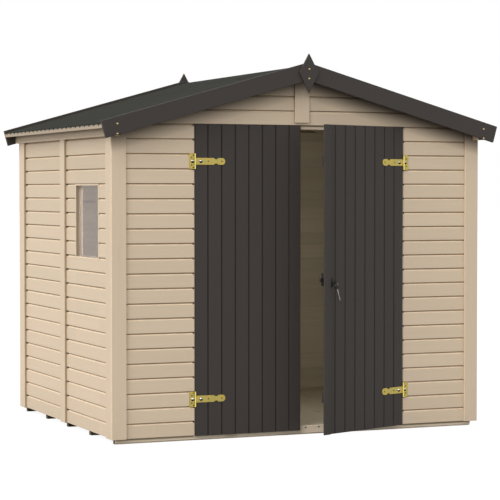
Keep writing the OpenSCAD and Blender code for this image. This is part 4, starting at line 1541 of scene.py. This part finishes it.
class SHED_OT_lock(bpy.types.Operator):
    """Finish the rim lock and the escutcheon, and cut the keys"""

    bl_idname = "shed.lock"
    bl_label = "Lock and keys"

    def execute(self, context):
        sizes = context.scene.shed_sizes
        for node in ("rim_lock", "lock_escutcheon"):
            bm = solid_of(node)
            eased(bm, sizes.small_arris, 60.0, 2)
            black = [finish("black")]
            make_piece(f"{node}.made", bm, RIGHT_DOOR, black, [node], smooth=35.0)
        turn = swung(RIGHT_DOOR)
        low, high = shut_box("rim_lock", RIGHT_DOOR)
        near, far, rise = 0.010, 0.078, 0.0195
        case_screws = [
            Vector((high.x - inset, high.y, z))
            for inset in (near, far)
            for z in (low.z + near, high.z - near)
        ]
        low, high = shut_box("lock_escutcheon", RIGHT_DOOR)
        middle = (low + high) / 2.0
        plate_y = shut_box("right_door_leaf", RIGHT_DOOR)[0].y - sizes.lock_plate
        plate_screws = [Vector((middle.x, plate_y, middle.z + up)) for up in (-rise, rise)]
        bm = bmesh.new()
        heads(bm, screw_head(sizes.screw), case_screws, -OUTWARD, turn)
        heads(bm, screw_head(sizes.screw * 0.6), plate_screws, OUTWARD, turn)
        fixings_piece("lock_screws", bm, RIGHT_DOOR, "black_lock", finish("black"))
        self.keys(sizes, Vector((middle.x, low.y, middle.z)), turn)
        return {"FINISHED"}

    def keys(self, sizes, keyhole, turn):
        """A key in the lock, and a spare that hangs from its bow on a ring."""
        bow, ring, wire, thick = sizes.key_bow, sizes.key_ring, sizes.key_wire, sizes.key_plate
        ring_y = shut_box("door_keys", RIGHT_DOOR)[0].y + ring + wire + sizes.key_sunk
        bow_y = ring_y + bow - 2.0 * wire
        half = sizes.key_blade / 2.0
        across = Vector((1.0, 0.0, 0.0))
        bow_middle = Vector((keyhole.x, bow_y, keyhole.z))
        eye = Vector((keyhole.x, ring_y, keyhole.z))
        pivot = Vector((keyhole.x, ring_y, keyhole.z + wire - 2.0 * ring))
        lean = Matrix.Translation(pivot) @ Matrix.Rotation(-math.radians(sizes.key_lean), 4, "Y")
        spare_bow = Vector((0.0, 0.0, 2.0 * wire - bow))
        hole = spare_bow + Vector((0.0, 0.0, bow - 2.8 * wire))
        bm = bmesh.new()
        holed_disc(bm, spare_bow, bow, wire * 1.7, hole, OUTWARD, thick * 1.6)
        bmesh.ops.transform(bm, matrix=lean, verts=bm.verts)
        holed_disc(bm, bow_middle, bow, wire * 1.6, eye, across, thick * 1.6)
        outwards(bm)
        eased(bm, sizes.bow_arris, 60.0, 2)
        bmesh.ops.transform(bm, matrix=turn, verts=bm.verts)
        make_piece("door_key_bows", bm, RIGHT_DOOR, [finish("black")], smooth=35.0)

        bm = bmesh.new()
        swept(bm, self.blade(sizes, spare_bow.z - 0.9 * bow), OUTWARD * thick)
        bmesh.ops.transform(bm, matrix=lean, verts=bm.verts)
        neck = bow_y + 0.7 * bow
        shank = [
            Vector((keyhole.x - thick / 2.0, y, keyhole.z + up))
            for y, up in ((keyhole.y, -half), (neck, -half), (neck, half), (keyhole.y, half))
        ]
        swept(bm, shank, across * thick)
        outwards(bm)
        eased(bm, sizes.blade_arris, 60.0, 1)
        loop = bmesh.new()
        turns = [2.0 * math.pi * step / 12 for step in range(13)]
        turned(loop, [(ring + wire * math.cos(t), wire * math.sin(t)) for t in turns], 40)
        outwards(loop)
        stand = Matrix.Translation(Vector((keyhole.x, ring_y, keyhole.z + wire - ring)))
        bmesh.ops.transform(loop, matrix=stand @ Matrix.Rotation(math.pi / 2.0, 4, "Y"), verts=loop.verts)
        take_in(bm, loop)
        bmesh.ops.transform(bm, matrix=turn, verts=bm.verts)
        steel = [finish("steel")]
        make_piece("door_keys.made", bm, RIGHT_DOOR, steel, ["door_keys"], smooth=35.0)

    def blade(self, sizes, top):
        """Outline of a key's blade, hanging down, with its cuts on one side."""
        half, long = sizes.key_blade / 2.0, sizes.key_length
        cuts = ((0.38, 0.9), (0.44, 0.2), (0.54, 0.5), (0.62, 0.0), (0.72, 0.6), (0.80, 0.3), (0.88, 0.7))
        points = [(-half, 0.0), (-half, -0.93 * long), (-0.3 * half, -long), (0.4 * half, -long)]
        points += [(half * depth, -share * long) for share, depth in reversed(cuts)]
        points += [(half, -0.36 * long), (half, 0.0)]
        thick = sizes.key_plate
        return [Vector((x, thick / 2.0, top + z)) for x, z in points]


# Stage


CAMERA_LENS, CAMERA_SENSOR = 135.25, 36.0
CAMERA_PLACE = (-4.6812, -11.134, 1.461)
CAMERA_DIP, CAMERA_TURN = 1.795, -23.0784
SUN_FROM = Vector((-0.735, -0.37, 0.6))
SUN_STRENGTH, SUN_SPREAD = 1.67, 40.0
FILL_PLACE = (0.1, -0.45, 1.05)
FILL_POWER, FILL_RADIUS = 9.6, 0.35
SURROUND_LIGHT = 0.878
FLOOR_HALF = 120.0


class SHED_OT_stage(bpy.types.Operator):
    """Set the camera, the studio floor and the light"""

    bl_idname = "shed.stage"
    bl_label = "Stage"

    def execute(self, context):
        scene = context.scene
        scene.view_settings.view_transform = "Standard"
        data = bpy.data.cameras.new("camera")
        data.lens = CAMERA_LENS
        data.sensor_width = CAMERA_SENSOR
        data.clip_end = 500.0
        camera = bpy.data.objects.new("camera", data)
        camera.location = CAMERA_PLACE
        camera.rotation_euler = (math.radians(90.0 - CAMERA_DIP), 0.0, math.radians(CAMERA_TURN))
        scene.collection.objects.link(camera)
        scene.camera = camera
        sun = bpy.data.lights.new("key light", "SUN")
        sun.energy = SUN_STRENGTH
        sun.color = (1.0, 0.985, 0.955)
        sun.angle = math.radians(SUN_SPREAD)
        lamp = bpy.data.objects.new("key light", sun)
        lamp.rotation_euler = SUN_FROM.to_track_quat("Z", "Y").to_euler()
        scene.collection.objects.link(lamp)
        fill = bpy.data.lights.new("room fill", "POINT")
        fill.energy = FILL_POWER
        fill.shadow_soft_size = FILL_RADIUS
        bulb = bpy.data.objects.new("room fill", fill)
        bulb.location = FILL_PLACE
        scene.collection.objects.link(bulb)
        self.surround(scene)
        self.ground(scene)
        return {"FINISHED"}

    def seen(self, tree, mirrored):
        """One where the camera or a pane looks, the mirrored share for a reflection, nought elsewhere."""
        path = add(tree, "ShaderNodeLightPath")
        ray = path.outputs
        looks = reckon(tree, "MAXIMUM", ray["Is Camera Ray"], ray["Is Transmission Ray"])
        reflects = reckon(tree, "MULTIPLY", ray["Is Glossy Ray"], mirrored)
        return reckon(tree, "MAXIMUM", looks, reflects)

    def surround(self, scene):
        """White to look at, and an even soft light."""
        world = bpy.data.worlds.new("studio")
        scene.world = world
        world.use_nodes = True
        tree = world.node_tree
        background = tree.nodes["Background"]
        background.inputs["Color"].default_value = (1.0, 1.0, 1.0, 1.0)
        strength = ranged(tree, self.seen(tree, 1.0), 0.0, 1.0, SURROUND_LIGHT, 1.0)
        tree.links.new(strength, background.inputs["Strength"])

    def ground(self, scene):
        """A pale floor that keeps a faint shadow, and that reflections see near-black where they meet it
        steeply, a painted reflection.
        """
        bm = bmesh.new()
        bmesh.ops.create_grid(bm, x_segments=1, y_segments=1, size=FLOOR_HALF)
        mesh = bpy.data.meshes.new("studio_floor")
        bm.to_mesh(mesh)
        bm.free()
        material, tree, shader = new_material("studio floor")
        tree.nodes.remove(shader)
        matt = add(tree, "ShaderNodeBsdfDiffuse", {"Color": scene.shed_colours.ground})
        pale = add(tree, "ShaderNodeBsdfDiffuse", {"Color": (0.14, 0.14, 0.14)})
        glow = add(tree, "ShaderNodeEmission", {"Color": (1.0, 1.0, 1.0), "Strength": 0.93})
        lit = add(tree, "ShaderNodeAddShader", {0: pale.outputs[0], 1: glow.outputs[0]})
        slant = add(tree, "ShaderNodeLayerWeight", {"Blend": 0.5}).outputs["Facing"]
        seen = self.seen(tree, ranged(tree, slant, 0.60, 0.82))
        shiny = add(tree, "ShaderNodeLightPath").outputs["Is Glossy Ray"]
        # Painted reflection: steep reflections see this near-black floor.
        dim = add(tree, "ShaderNodeEmission", {"Color": (0.03, 0.03, 0.03), "Strength": 1.0})
        near = add(tree, "ShaderNodeMixShader", {0: shiny, 1: matt.outputs[0], 2: dim.outputs[0]})
        either = add(tree, "ShaderNodeMixShader", {0: seen, 1: near.outputs[0], 2: lit.outputs[0]})
        tree.links.new(either.outputs[0], tree.nodes["Material Output"].inputs["Surface"])
        mesh.materials.append(material)
        floor = bpy.data.objects.new("studio_floor", mesh)
        scene.collection.objects.link(floor)
        floor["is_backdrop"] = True


class SHED_PT_panel(bpy.types.Panel):
    """Lists the shed's operators, sizes and colours"""

    bl_idname = "SHED_PT_panel"
    bl_label = "Garden shed"
    bl_space_type = "VIEW_3D"
    bl_region_type = "UI"
    bl_category = "Shed"

    def draw(self, context):
        column = self.layout.column(align=True)
        for operator in OPERATORS:
            column.operator(operator.bl_idname)
        for group in (context.scene.shed_sizes, context.scene.shed_colours):
            column.separator()
            for label in group.__annotations__:
                column.prop(group, label)


OPERATORS = (
    SHED_OT_stage,
    SHED_OT_walls,
    SHED_OT_trim,
    SHED_OT_framing,
    SHED_OT_base,
    SHED_OT_roof,
    SHED_OT_barges,
    SHED_OT_window,
    SHED_OT_doors,
    SHED_OT_hinges,
    SHED_OT_lock,
)
CLASSES = (ShedSizes, ShedColours, *OPERATORS, SHED_PT_panel)


def register():
    """Registers the classes and hangs the properties on the scene."""
    for cls in CLASSES:
        bpy.utils.register_class(cls)
    bpy.types.Scene.shed_sizes = bpy.props.PointerProperty(type=ShedSizes)
    bpy.types.Scene.shed_colours = bpy.props.PointerProperty(type=ShedColours)


def unregister():
    """Takes the properties and classes away again."""
    del bpy.types.Scene.shed_colours
    del bpy.types.Scene.shed_sizes
    for cls in reversed(CLASSES):
        bpy.utils.unregister_class(cls)


def main():
    """Builds the shed in order."""
    register()
    bpy.ops.shed.stage()
    bpy.ops.shed.walls()
    bpy.ops.shed.trim()
    bpy.ops.shed.framing()
    bpy.ops.shed.base()
    bpy.ops.shed.roof()
    bpy.ops.shed.barges()
    bpy.ops.shed.window()
    bpy.ops.shed.doors()
    bpy.ops.shed.hinges()
    bpy.ops.shed.lock()
    boxes = {"cad": CAD_BOX, "visual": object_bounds()}
    {label: [list(corner) for corner in box] for label, box in boxes.items()}


if __name__ == "__main__":
    main()
